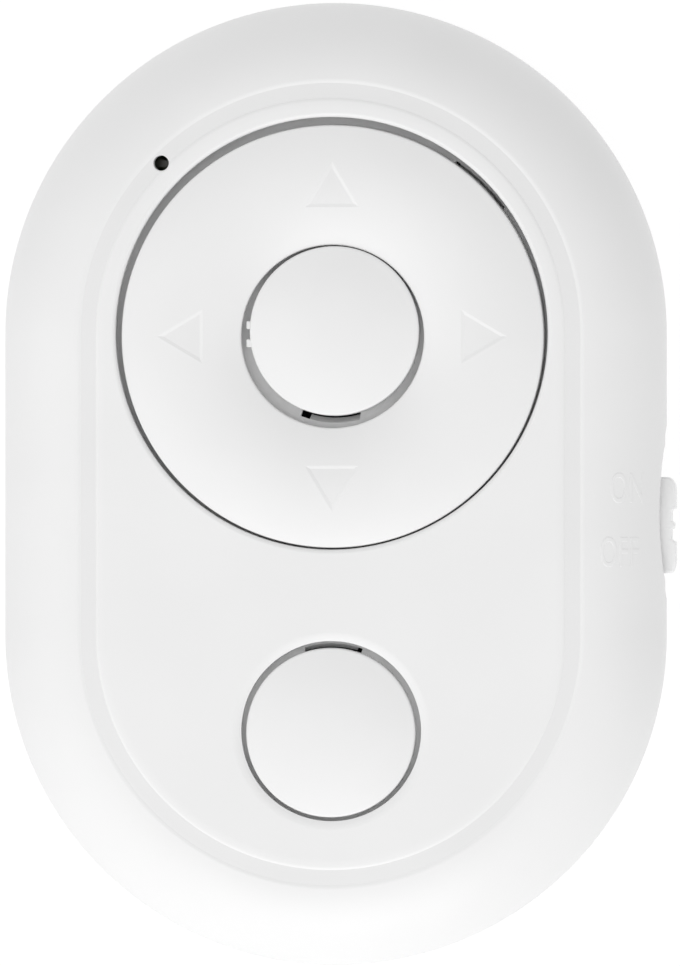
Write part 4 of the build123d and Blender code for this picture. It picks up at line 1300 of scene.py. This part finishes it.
@dataclass
class RoundKey:
    """Domed round key with a hollow skirt and a notched flange."""

    name: str
    node: str
    body: str
    centre: Point
    edge_z: float
    flange_top: float
    notch: Notch
    gate_marks: bool = False
    radius: float = 5.26
    crown: float = 0.85
    edge_round: float = 0.2
    wall_draft: float = 0.03
    wall: float = 1.15
    skin: float = 1.9
    flange_reach: float = 1.3
    flange_thickness: float = 0.9
    stem_radius: float = 1.5
    stem_bottom: float = 8.25
    mark_width: float = 0.5
    mark_proud: float = 0.22
    mark_pitch: float = 1.12
    mark_shift: float = -0.2
    mark_round: float = 0.08
    mark_below_edge: float = 0.25
    mark_height: float = 1.2
    mark_bevel: float = 0.1
    mark_taper: float = 0.07

    def marks(self) -> list[Piece]:
        """Two gate marks on the left of the key's wall.

        Returns:
            Solids to weld on.
        """
        high = self.edge_z - self.mark_below_edge
        marks = []
        for side in (-1, 1):
            middle = (self.centre[0] - self.radius,
                      self.centre[1] + self.mark_shift + side * self.mark_pitch / 2)
            mark = box_outline(middle, 2 * self.mark_proud, self.mark_width, self.mark_round)
            layers = [(mark, high - self.mark_height), (mark, high - self.mark_bevel),
                      (inset(mark, self.mark_taper), high)]
            marks.append(stack("mark", layers))
        return marks

    def build(self) -> Piece:
        """Builds the key.

        Returns:
            The seated piece.
        """
        top = self.edge_z + self.crown
        dome = (self.radius**2 + self.crown**2) / (2 * self.crown)
        edge, meet = crowned_edge(0.0, dome, top, self.radius, self.edge_round)
        flange = self.radius + self.flange_reach
        flange_bottom = self.flange_top - self.flange_thickness
        skirt = self.radius - self.wall
        hollow = top - self.skin
        section = arc((0.0, top - dome), dome, 90, meet, 28)[:-1]
        section[0] = (0.0, top)
        section += arc(edge, self.edge_round, meet, 0, 8)
        section += [
            (self.radius + self.wall_draft, self.flange_top),
            *stepped((flange, self.flange_top), flange_bottom, skirt, hollow, self.stem_radius,
                     self.stem_bottom, 0.0),
        ]
        key = turned(self.name, section, self.centre)
        if self.gate_marks:
            work(key, Work.WELD, *self.marks())
        notch = self.notch.tools(self.centre, self.radius, self.flange_top, flange_bottom)
        work(key, Work.CUT, *notch)
        return seat(key, self.body, "key_plastic", KEY_ABS, self.node)


@dataclass
class SlideKnob:
    """Ribbed knob of the power slide, with its plate behind the wall."""

    plan: BodyPlan
    rest_y: float = -2.56
    length: float = 6.0
    height: float = 2.6
    face_x: float = 20.99
    ridge_x: float = 21.25
    upper_end_x: float = 20.74
    lower_end_x: float = 20.93
    ridge_start: float = 0.92
    ridge_rise: float = 0.16
    ridge_end: float = 2.05
    middle_half: float = 0.24
    middle_proud: float = 0.17
    plate_outer: float = 18.85
    plate_inner: float = 17.95
    plate_length: float = 9.9
    plate_height: float = 3.8
    plate_round: float = 0.15
    root: float = 18.55
    socket_depth: float = 1.8
    socket_length: float = 1.56
    socket_low: float = 4.17
    socket_high: float = 5.23
    edge: float = 0.13
    crown_radius: float = 15.0
    face_steps: int = 160

    def face(self, along: float) -> float:
        """Gives the knob's face at a distance from its middle.

        Args:
            along: Distance from the knob's middle along the slide.

        Returns:
            How far out the face is.
        """
        away = abs(along)
        if away < self.middle_half:
            return self.face_x + self.middle_proud * math.sqrt(1 - (away / self.middle_half) ** 2)
        if away < self.ridge_start:
            return self.face_x
        if away < self.ridge_end:
            share = min(1.0, (away - self.ridge_start) / self.ridge_rise)
            return self.face_x + (self.ridge_x - self.face_x) * math.sin(share * math.pi / 2)
        end_x = self.upper_end_x if along > 0 else self.lower_end_x
        fall = (away - self.ridge_end) / (self.length / 2 - self.ridge_end)
        return end_x + (self.ridge_x - end_x) * math.sqrt(max(0.0, 1 - fall**2))

    def section(self, along: float, back: float) -> list[Point]:
        """Cross-section of the knob at a distance from its middle.

        Args:
            along: Distance from the knob's middle along the slide.
            back: How far the section stands back from its full size.

        Returns:
            Outline as how far out, and height.
        """
        out = self.face(along) - back - self.edge
        fall = along**2 / (2 * self.crown_radius)
        low = self.plan.slide_z - self.height / 2 + back
        high = self.plan.slide_z + self.height / 2 - back - fall
        return [
            (self.root, low),
            *arc((out, low + self.edge), self.edge, -90, 0, 4),
            *arc((out, high - self.edge), self.edge, 0, 90, 4),
            (self.root, high),
        ]

    def build(self) -> Piece:
        """Builds the knob and its plate in one piece.

        Returns:
            The seated piece.
        """
        half = self.length / 2
        rounding = [(half - self.edge * (1 - math.cos(turn)), self.edge * (1 - math.sin(turn)))
                    for turn in (0.0, math.pi / 6, math.pi / 3, math.pi / 2)]
        straight = [
            (half - self.edge) * (1 - 2 * step / self.face_steps)
            for step in range(1, self.face_steps)
        ]
        places = [*rounding, *((along, 0.0) for along in straight)]
        places += [(-along, back) for along, back in rounding[::-1]]
        lengthwise = Matrix(((1, 0, 0, 0), (0, 0, 1, self.rest_y), (0, 1, 0, 0), (0, 0, 0, 1)))
        layers = [(self.section(along, back), along) for along, back in places]
        knob = stack("slide_knob", layers, lengthwise)
        plate = box_outline(
            ((self.plate_inner + self.plate_outer) / 2, self.rest_y),
            self.plate_outer - self.plate_inner, self.plate_length, self.plate_round,
        )
        plate_low = self.plan.slide_z - self.plate_height / 2
        plate_high = self.plan.slide_z + self.plate_height / 2
        work(knob, Work.WELD, block("plate", plate, plate_low, plate_high))
        socket = box_outline(
            (self.plate_inner, self.rest_y), self.socket_depth, self.socket_length
        )
        work(knob, Work.CUT, block("socket", socket, self.socket_low, self.socket_high))
        # The knob's whiter finish carries painted light against the rim's shade
        return seat(
            knob, "slider", "slider_plastic", SLIDE_ACETAL_LIFTED, "power_slider", sharp_angle=38.0
        )


@dataclass
class CoinLid:
    """Battery lid that a coin turns, with its sealing ring."""

    radius: float = 12.6
    face_z: float = 0.1
    top_z: float = 1.3
    edge_round: float = 0.2
    collar_inner: float = 10.25
    collar_outer: float = 10.95
    lug_inner: float = 10.45
    lug_radius: float = 11.85
    lug_bottom: float = 1.9
    lug_top: float = 2.44
    lug_angle: float = 26.0
    lug_turns: tuple[int, ...] = (0, 120, 240)
    collar_top: float = 2.45
    slot_length: float = 14.0
    slot_width: float = 1.9
    slot_depth: float = 0.6
    slot_edge: float = 0.12
    slot_edge_middle: float = 0.035
    slot_floor_bevel: float = 0.1
    dot: IndexDot = IndexDot()
    seal_circle: float = 11.85
    seal_radius: float = 0.32
    seal_groove: float = 0.38
    seal_room: float = 0.06
    seal_flash: float = 0.012
    seal_steps: int = 24

    def lugs(self) -> list[Piece]:
        """Three bayonet lugs on the lid's collar.

        Returns:
            Solids to weld on.
        """
        half = self.lug_angle / 2
        lugs = []
        for turn in self.lug_turns:
            outline = arc(ORIGIN, self.lug_radius, turn - half, turn + half, 12)
            outline += arc(ORIGIN, self.lug_inner, turn + half, turn - half, 12)
            lugs.append(block("lug", outline, self.lug_bottom, self.lug_top))
        return lugs

    def coin_slot(self) -> Piece:
        """Slot for a coin, with a rounded mouth and a bevel round its floor.

        Returns:
            Tool to cut with.
        """
        mouth = slot_outline(self.slot_length, self.slot_width)
        wide = inset(mouth, -self.slot_edge)
        floor = self.face_z + self.slot_depth
        return stack("coin_slot", [
            (wide, -CLEAR),
            (wide, self.face_z - HAIR),
            (inset(mouth, -self.slot_edge_middle), self.face_z + self.slot_edge_middle),
            (mouth, self.face_z + self.slot_edge),
            (mouth, floor - self.slot_floor_bevel),
            (inset(mouth, self.slot_floor_bevel), floor),
        ])

    def lid(self) -> Piece:
        """Lid with its coin slot, its dot and three bayonet lugs.

        Returns:
            The seated piece.
        """
        groove_z = self.top_z - 2 * self.seal_radius - self.seal_room
        groove_inner = self.seal_circle - self.seal_groove
        groove_outer = self.seal_circle + self.seal_groove
        edge = (self.radius - self.edge_round, self.face_z + self.edge_round)
        section = [(0.0, self.face_z), *arc(edge, self.edge_round, -90, 0, 6)]
        section += [
            (self.radius, self.top_z),
            *stepped((groove_outer, self.top_z), groove_z, groove_inner, self.top_z,
                     self.collar_outer, self.collar_top, self.collar_inner, self.top_z, 0.0),
        ]
        lid = turned("coin_lid", section, steps=256)
        work(lid, Work.WELD, *self.lugs())
        dot_place = (0.0, self.radius - self.dot.from_edge)
        work(lid, Work.CUT, self.coin_slot(), self.dot.tool(dot_place, self.face_z))
        return seat(lid, "lid", "housing_plastic", SATIN_ABS, "battery_lid")

    def seal(self) -> Piece:
        """Rubber ring in the lid's groove, with the fine flash line of its mould.

        Returns:
            The seated piece.
        """
        middle = (self.seal_circle, self.top_z - self.seal_radius)
        body = self.seal_radius - self.seal_flash
        last = 360 - 360 / self.seal_steps
        section = []
        for index, point in enumerate(arc(middle, body, 0, last, self.seal_steps - 1)):
            flash = self.seal_flash if index in (0, self.seal_steps // 2) else 0.0
            way = Vector(point) - Vector(middle)
            section.append(tuple(Vector(point) + way.normalized() * flash))
        ring = turned("lid_seal_ring", section, ring=True)
        return seat(
            ring, "lid", "seal_rubber", NITRILE_RUBBER, "battery_lid_seal", sharp_angle=45.0
        )

    def build(self) -> list[Piece]:
        """Builds the lid and its seal."""
        return [self.lid(), self.seal()]


@dataclass
class ShellScrews:
    """Three self-tapping screws that hold the shells together."""

    plan: BodyPlan
    head_radius: float = 1.5
    head_bottom: float = 0.6
    head_round: float = 0.4
    shank_radius: float = 0.75
    thread_depth: float = 0.12
    thread_pitch: float = 0.6
    thread_half: float = 0.2
    end_z: float = 9.0
    tip_length: float = 0.9
    cross_length: float = 1.8
    cross_width: float = 0.4
    cross_depth: float = 0.6
    cross_below: float = 0.5
    cross_mouth: float = 0.1
    cross_taper: float = 0.07
    first_turn: float = 25.0
    next_turn: float = 40.0

    def section(self) -> list[Point]:
        """Half section of a screw, with its thread as fine rings.

        Returns:
            Points as distance from the axis, and height.
        """
        under = self.plan.wall
        edge = (self.head_radius - self.head_round, self.head_bottom + self.head_round)
        section = [(0.0, self.head_bottom), *arc(edge, self.head_round, -90, 0, 8)]
        root = self.shank_radius - self.thread_depth
        section += [(self.head_radius, under), (root, under)]
        height = under + self.thread_pitch
        while height < self.end_z - self.tip_length:
            section += [(root, height - self.thread_half), (self.shank_radius, height),
                        (root, height + self.thread_half)]
            height += self.thread_pitch
        section += [(root, self.end_z - self.tip_length), (0.0, self.end_z)]
        return section

    def cross(self, place: Point, turn: float) -> Piece:
        """Cross recess in a screw's head.

        Args:
            place: Axis of the screw in the plan.
            turn: How far the screw is turned, in degrees.

        Returns:
            Tool to cut with.
        """
        long, short = self.cross_length / 2, self.cross_width / 2
        quarter = [(long, -short), (long, short), (short, short)]
        outline = []
        for _ in range(4):
            outline += quarter
            quarter = [(-y, x) for x, y in quarter]
        layers = [
            (outline, self.head_bottom - self.cross_below),
            (outline, self.head_bottom + self.cross_mouth),
            (inset(outline, self.cross_taper), self.head_bottom + self.cross_depth),
        ]
        rotation = Matrix.Rotation(math.radians(turn), 4, "Z")
        return stack("cross", layers, Matrix.Translation((*place, 0.0)) @ rotation)

    def build(self) -> Piece:
        """Builds the screws as one piece.

        Returns:
            The seated piece.
        """
        screws = []
        for index, place in enumerate(self.plan.screw_places):
            screw = turned(f"screw_{index}", self.section(), place, steps=64)
            work(screw, Work.CUT, self.cross(place, self.first_turn + self.next_turn * index))
            screws.append(screw)
        piece, *others = screws
        piece.name = "shell_screws"
        work(piece, Work.WELD, *others)
        return seat(
            piece, "housing", "screw_steel", ZINC_STEEL, "housing_screws", sharp_angle=35.0
        )


class FoamHalf(Enum):
    """Layer of the foam ring, by the share of the way round its section where it begins."""

    UPPER = 0.0
    LOWER = 0.5


@dataclass
class RubberParts:
    """Silicone keypad mat, its six domes, and the foam ring that carries the direction ring."""

    plan: BodyPlan
    mat_half: float = 16.8
    mat_top: float = 6.9
    mat_round: float = 0.2
    boss_hole: float = 2.2
    lamp_hole: float = 1.1
    hole_room: float = 0.01
    hole_low: float = 5.0
    hole_high: float = 9.0
    dome_top: float = 8.2
    dome_base: float = 2.6
    dome_head: float = 1.6
    dome_wall: float = 0.4
    dome_bevel: float = 0.15
    dome_foot_gap: float = 0.02
    web_bend: float = 1.6
    web_steps: int = 10
    web_foot: float = 0.12
    web_head: float = 0.3
    plunger: float = 0.9
    plunger_bottom: float = 6.78
    plunger_bevel: float = 0.1
    press_travel: float = 0.37
    rock_travel: float = 0.33
    foam_outer: float = 13.8
    foam_inner: float = 12.4
    foam_bottom: float = 6.95
    foam_top: float = 8.45
    foam_steps: int = 48
    foam_softness: float = 0.35

    def dome(self, name: str, place: Point, joint: str, travel: float) -> Piece:
        """Hollow key dome with a curved web that gives way, and a plunger inside it.

        Args:
            name: Name of the piece.
            place: Its middle in the plan.
            joint: Joint of the key that presses it; not used.
            travel: How far it is pressed at the joint's limit; not used.

        Returns:
            The seated piece.
        """
        foot = self.plan.board_top + self.dome_foot_gap
        shoulder = self.dome_top - self.dome_bevel
        shares = [step / self.web_steps for step in range(self.web_steps + 1)]
        outside = [
            (self.dome_head + (self.dome_base - self.dome_head) * share**self.web_bend,
             shoulder - (shoulder - self.mat_top) * share)
            for share in shares
        ]
        inside = [
            (reach - self.dome_wall, height - self.web_foot - self.web_head * (1 - share))
            for (reach, height), share in zip(outside[::-1], shares[::-1])
        ]
        section = [
            (0.0, self.dome_top), (self.dome_head - self.dome_bevel, self.dome_top), *outside,
            (self.dome_base, foot), (self.dome_base - self.dome_wall, foot), *inside,
            (self.plunger, inside[-1][1]),
            (self.plunger, self.plunger_bottom + self.plunger_bevel),
            (self.plunger - self.plunger_bevel, self.plunger_bottom), (0.0, self.plunger_bottom),
        ]
        dome = turned(name, section, place, steps=64)
        seat(
            dome, "housing", "keypad_silicone", GREY_SILICONE, "silicone_keypad", sharp_angle=40.0
        )
        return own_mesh(dome)

    def domes(self) -> list[Piece]:
        """Six domes of the mat, one under each key.

        Returns:
            The seated pieces.
        """
        sideways, lengthways = "dpad_rock_left_right", "dpad_rock_up_down"
        pressed = (
            ("key_dome_right", sideways, self.rock_travel),
            ("key_dome_up", lengthways, self.rock_travel),
            ("key_dome_left", sideways, self.rock_travel),
            ("key_dome_down", lengthways, self.rock_travel),
            ("key_dome_centre", "center_press", self.press_travel),
            ("key_dome_shutter", "shutter_press", self.press_travel),
        )
        return [
            self.dome(name, place, joint, travel)
            for (name, joint, travel), place in zip(pressed, self.plan.key_places())
        ]

    def mat(self) -> Piece:
        """Keypad mat, with a hole for each dome.

        Returns:
            The seated piece.
        """
        bottom = self.plan.board_top
        edge = arc((self.mat_half - self.mat_round, self.mat_top - self.mat_round),
                   self.mat_round, 90, 0, 6)
        section = [(0.0, self.mat_top), *edge, (self.mat_half, bottom), (0.0, bottom)]
        mat = sweep("keypad_mat", section, obround_stations(self.plan.end_y, 64))
        holes = [(place, self.boss_hole) for place in self.plan.screw_places]
        holes.append((self.plan.lamp_place, self.lamp_hole))
        holes += [(place, self.dome_base + self.hole_room) for place in self.plan.key_places()]
        work(mat, Work.CUT, *(
            cylinder("hole", place, radius, self.hole_low, self.hole_high)
            for place, radius in holes
        ))
        return seat(
            mat, "housing", "keypad_silicone", GREY_SILICONE, "silicone_keypad", sharp_angle=40.0
        )

    def cushion(self, name: str, half: FoamHalf) -> Piece:
        """One layer of the foam ring, with the round corners and soft sides of squeezed foam.

        Args:
            name: Name of the piece.
            half: Which layer it is.

        Returns:
            The seated piece.
        """
        middle = ((self.foam_outer + self.foam_inner) / 2, (self.foam_top + self.foam_bottom) / 2)
        half_width = (self.foam_outer - self.foam_inner) / 2
        half_height = (self.foam_top - self.foam_bottom) / 2
        start = int(half.value * self.foam_steps)
        section = []
        for step in range(start, start + self.foam_steps // 2 + 1):
            turn = 2 * math.pi * step / self.foam_steps
            across, up = (
                math.copysign(abs(share) ** self.foam_softness, share)
                for share in (math.cos(turn), math.sin(turn))
            )
            section.append((middle[0] + half_width * across, middle[1] + half_height * up))
        ring = turned(name, section, self.plan.ring_centre, ring=True)
        seat(ring, None, "cushion_foam", BLACK_FOAM, "dpad_cushion_ring", sharp_angle=50.0)
        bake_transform(ring)
        return ring

    def build(self) -> list[Piece]:
        """Builds the mat, its domes and the two layers of the foam ring.

        Returns:
            The seated pieces.
        """
        lower = self.cushion("cushion_ring_lower", FoamHalf.LOWER)
        upper = self.cushion("cushion_ring_upper", FoamHalf.UPPER)
        return [self.mat(), *self.domes(), lower, upper]


@dataclass
class InnerParts:
    """Board, switch and cell, which keep their solids from the frame and get their finishes."""

    nodes: dict[str, Piece]

    def build(self) -> None:
        """Dresses each node that stays."""
        finishes = {
            "circuit_board": MASKED_LAMINATE,
            "contact_pads": GOLD_FLASH,
            "status_led": LAMP_EPOXY,
            "radio_chip": CHIP_COMPOUND,
            "crystal": TINNED_STEEL,
            "passive_components": FIRED_CERAMIC,
            "chip_antenna": FIRED_CERAMIC,
            "power_switch_body": TINNED_STEEL,
            "power_switch_terminals": GOLD_FLASH,
            "power_switch_stem": CHIP_COMPOUND,
            "coin_cell_can": CELL_STEEL,
            "coin_cell_gasket": GASKET_NYLON,
            "coin_cell_cap": CELL_STEEL,
            "battery_positive_contact": NICKEL_STRIP,
            "battery_negative_contact": NICKEL_STRIP,
        }
        for name, finish in finishes.items():
            dress(self.nodes[name], finish)
            LOG.info("%s keeps its solid, %s", name, finish.name)


# Studio


@dataclass(frozen=True)
class Lamp:
    """A soft box: where it hangs and how large and strong it is, in metres and watts."""

    name: str
    place: tuple[float, float, float]
    size: float
    power: float


@dataclass
class Studio:
    """Pale floor, soft light and the camera."""

    lamps: tuple[Lamp, ...] = (
        Lamp("front_box", (0.0, -0.62, 0.36), 0.55, 1.75),
        Lamp("left_high_box", (-0.38, 0.0, 0.62), 0.50, 0.30),
        Lamp("left_box", (-0.62, 0.0, 0.36), 0.55, 0.38),
    )
    sky: float = 0.713
    white: str = "#FFFFFF"
    paper: str = "#F4F4F4"
    seen_paper: str = "#7C7C7C"
    paper_glow: float = 0.87
    floor_size: float = 12.0
    floor_gap: float = 0.00002
    camera_distance: float = 1.95
    camera_tilt: float = 2.95
    aim: tuple[float, float, float] = (0.262, 0.069, 5.0)
    pixels_per_millimetre: float = 16.03
    picture_height: int = 966
    sensor: float = 36.0
    clip_start: float = 0.05
    clip_end: float = 50.0

    def finish_tree(
        self, tree: Tree, output: str, lit: bpy.types.Node, shown: bpy.types.Node
    ) -> None:
        """Ends a tree with one shader for rays that carry light and one for what is seen.

        What is seen is what the camera sees directly, in a mirror or through glass.

        Args:
            tree: Tree of the world or of the floor's material.
            output: Blender's name for the type of its output node.
            lit: Shader for rays that carry light.
            shown: Shader for what is seen.
        """
        path = add_node(tree, "ShaderNodeLightPath").outputs
        larger = {"operation": "MAXIMUM"}
        shiny = add_node(
            tree, "ShaderNodeMath", larger,
            {0: path["Is Glossy Ray"], 1: path["Is Transmission Ray"]},
        )
        seen = add_node(
            tree, "ShaderNodeMath", larger, {0: path["Is Camera Ray"], 1: shiny.outputs[0]}
        )
        mix = add_node(
            tree, "ShaderNodeMixShader",
            links={0: seen.outputs[0], 1: lit.outputs[0], 2: shown.outputs[0]},
        )
        add_node(tree, output, links={"Surface": mix.outputs[0]})

    def world(self) -> None:
        """Even white surroundings that light the part from all sides."""
        world = bpy.data.worlds.new("white_room")
        world.use_nodes = True
        tree = world.node_tree
        tree.nodes.clear()
        white = linear(self.white)
        light = add_node(tree, "ShaderNodeBackground", {"Color": white, "Strength": self.sky})
        view = add_node(tree, "ShaderNodeBackground", {"Color": white, "Strength": 1.0})
        self.finish_tree(tree, "ShaderNodeOutputWorld", light, view)
        bpy.context.scene.world = world

    def floor(self) -> None:
        """White paper under the part, on which its soft shadow stays."""
        half = self.floor_size / 2
        data = bpy.data.meshes.new("paper_floor")
        corners = [(-half, -half, 0.0), (half, -half, 0.0), (half, half, 0.0), (-half, half, 0.0)]
        data.from_pydata(corners, [], [(0, 1, 2, 3)])
        floor = place_object("paper_floor", data)
        floor.location.z = -self.floor_gap
        paper = bpy.data.materials.new("white_paper")
        paper.use_nodes = True
        tree = paper.node_tree
        tree.nodes.clear()
        lit = add_node(tree, "ShaderNodeBsdfDiffuse", {"Color": linear(self.paper)})
        faint = add_node(tree, "ShaderNodeBsdfDiffuse", {"Color": linear(self.seen_paper)})
        glow = add_node(
            tree, "ShaderNodeEmission", {"Color": linear(self.white), "Strength": self.paper_glow}
        )
        shown = add_node(
            tree, "ShaderNodeAddShader", links={0: faint.outputs[0], 1: glow.outputs[0]}
        )
        self.finish_tree(tree, "ShaderNodeOutputMaterial", lit, shown)
        data.materials.append(paper)

    def light(self) -> None:
        """Hangs the soft boxes."""
        for lamp in self.lamps:
            data = bpy.data.lights.new(lamp.name, "AREA")
            data.shape = "SQUARE"
            data.size = lamp.size
            data.energy = lamp.power
            box = place_object(lamp.name, data)
            box.location = lamp.place
            box.rotation_euler = Vector(lamp.place).to_track_quat("Z", "Y").to_euler()

    def camera(self) -> None:
        """Stands the camera almost straight above the keys, a little to the slide's side."""
        data = bpy.data.cameras.new("camera")
        data.sensor_width = self.sensor
        data.sensor_fit = "AUTO"
        shown = self.picture_height / self.pixels_per_millimetre * MILLIMETRE
        data.lens = data.sensor_width * self.camera_distance / shown
        data.clip_start = self.clip_start
        data.clip_end = self.clip_end
        tilt = math.radians(self.camera_tilt)
        camera = place_object("camera", data)
        away = Vector((math.sin(tilt), 0.0, math.cos(tilt))) * self.camera_distance
        camera.location = Vector(self.aim) * MILLIMETRE + away
        camera.rotation_euler = (0.0, tilt, 0.0)
        bpy.context.scene.camera = camera

    def build(self) -> None:
        """Sets up the room, the light and the camera."""
        bpy.context.scene.view_settings.view_transform = "Standard"
        self.camera()
        self.world()
        self.floor()
        self.light()


def main() -> None:
    """Builds the studio and the sub-assemblies in order."""
    logging.basicConfig(level=logging.INFO, format="%(name)s: %(message)s")
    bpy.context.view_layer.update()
    plan = BodyPlan()
    Studio().build()
    Shells(plan).build()
    DirectionRing(plan).build()
    RoundKey(
        "centre_key", "center_button", "center_key", plan.centre_key,
        edge_z=11.65, flange_top=10.2, gate_marks=True,
        notch=Notch(angle=-92.6, width=3.6, reach=0.45, slit=0.13, hole_width=0.58, hole_side=-1),
    ).build()
    RoundKey(
        "shutter_key_cap", "shutter_button", "shutter_key", plan.shutter_key,
        edge_z=11.5, flange_top=10.25,
        notch=Notch(angle=88.9, width=3.5, reach=0.3, slit=0.08, hole_width=0.3, hole_side=-1),
    ).build()
    SlideKnob(plan).build()
    CoinLid().build()
    ShellScrews(plan).build()
    RubberParts(plan).build()
    InnerParts(frame["nodes"]).build()


if __name__ == "__main__":
    main()
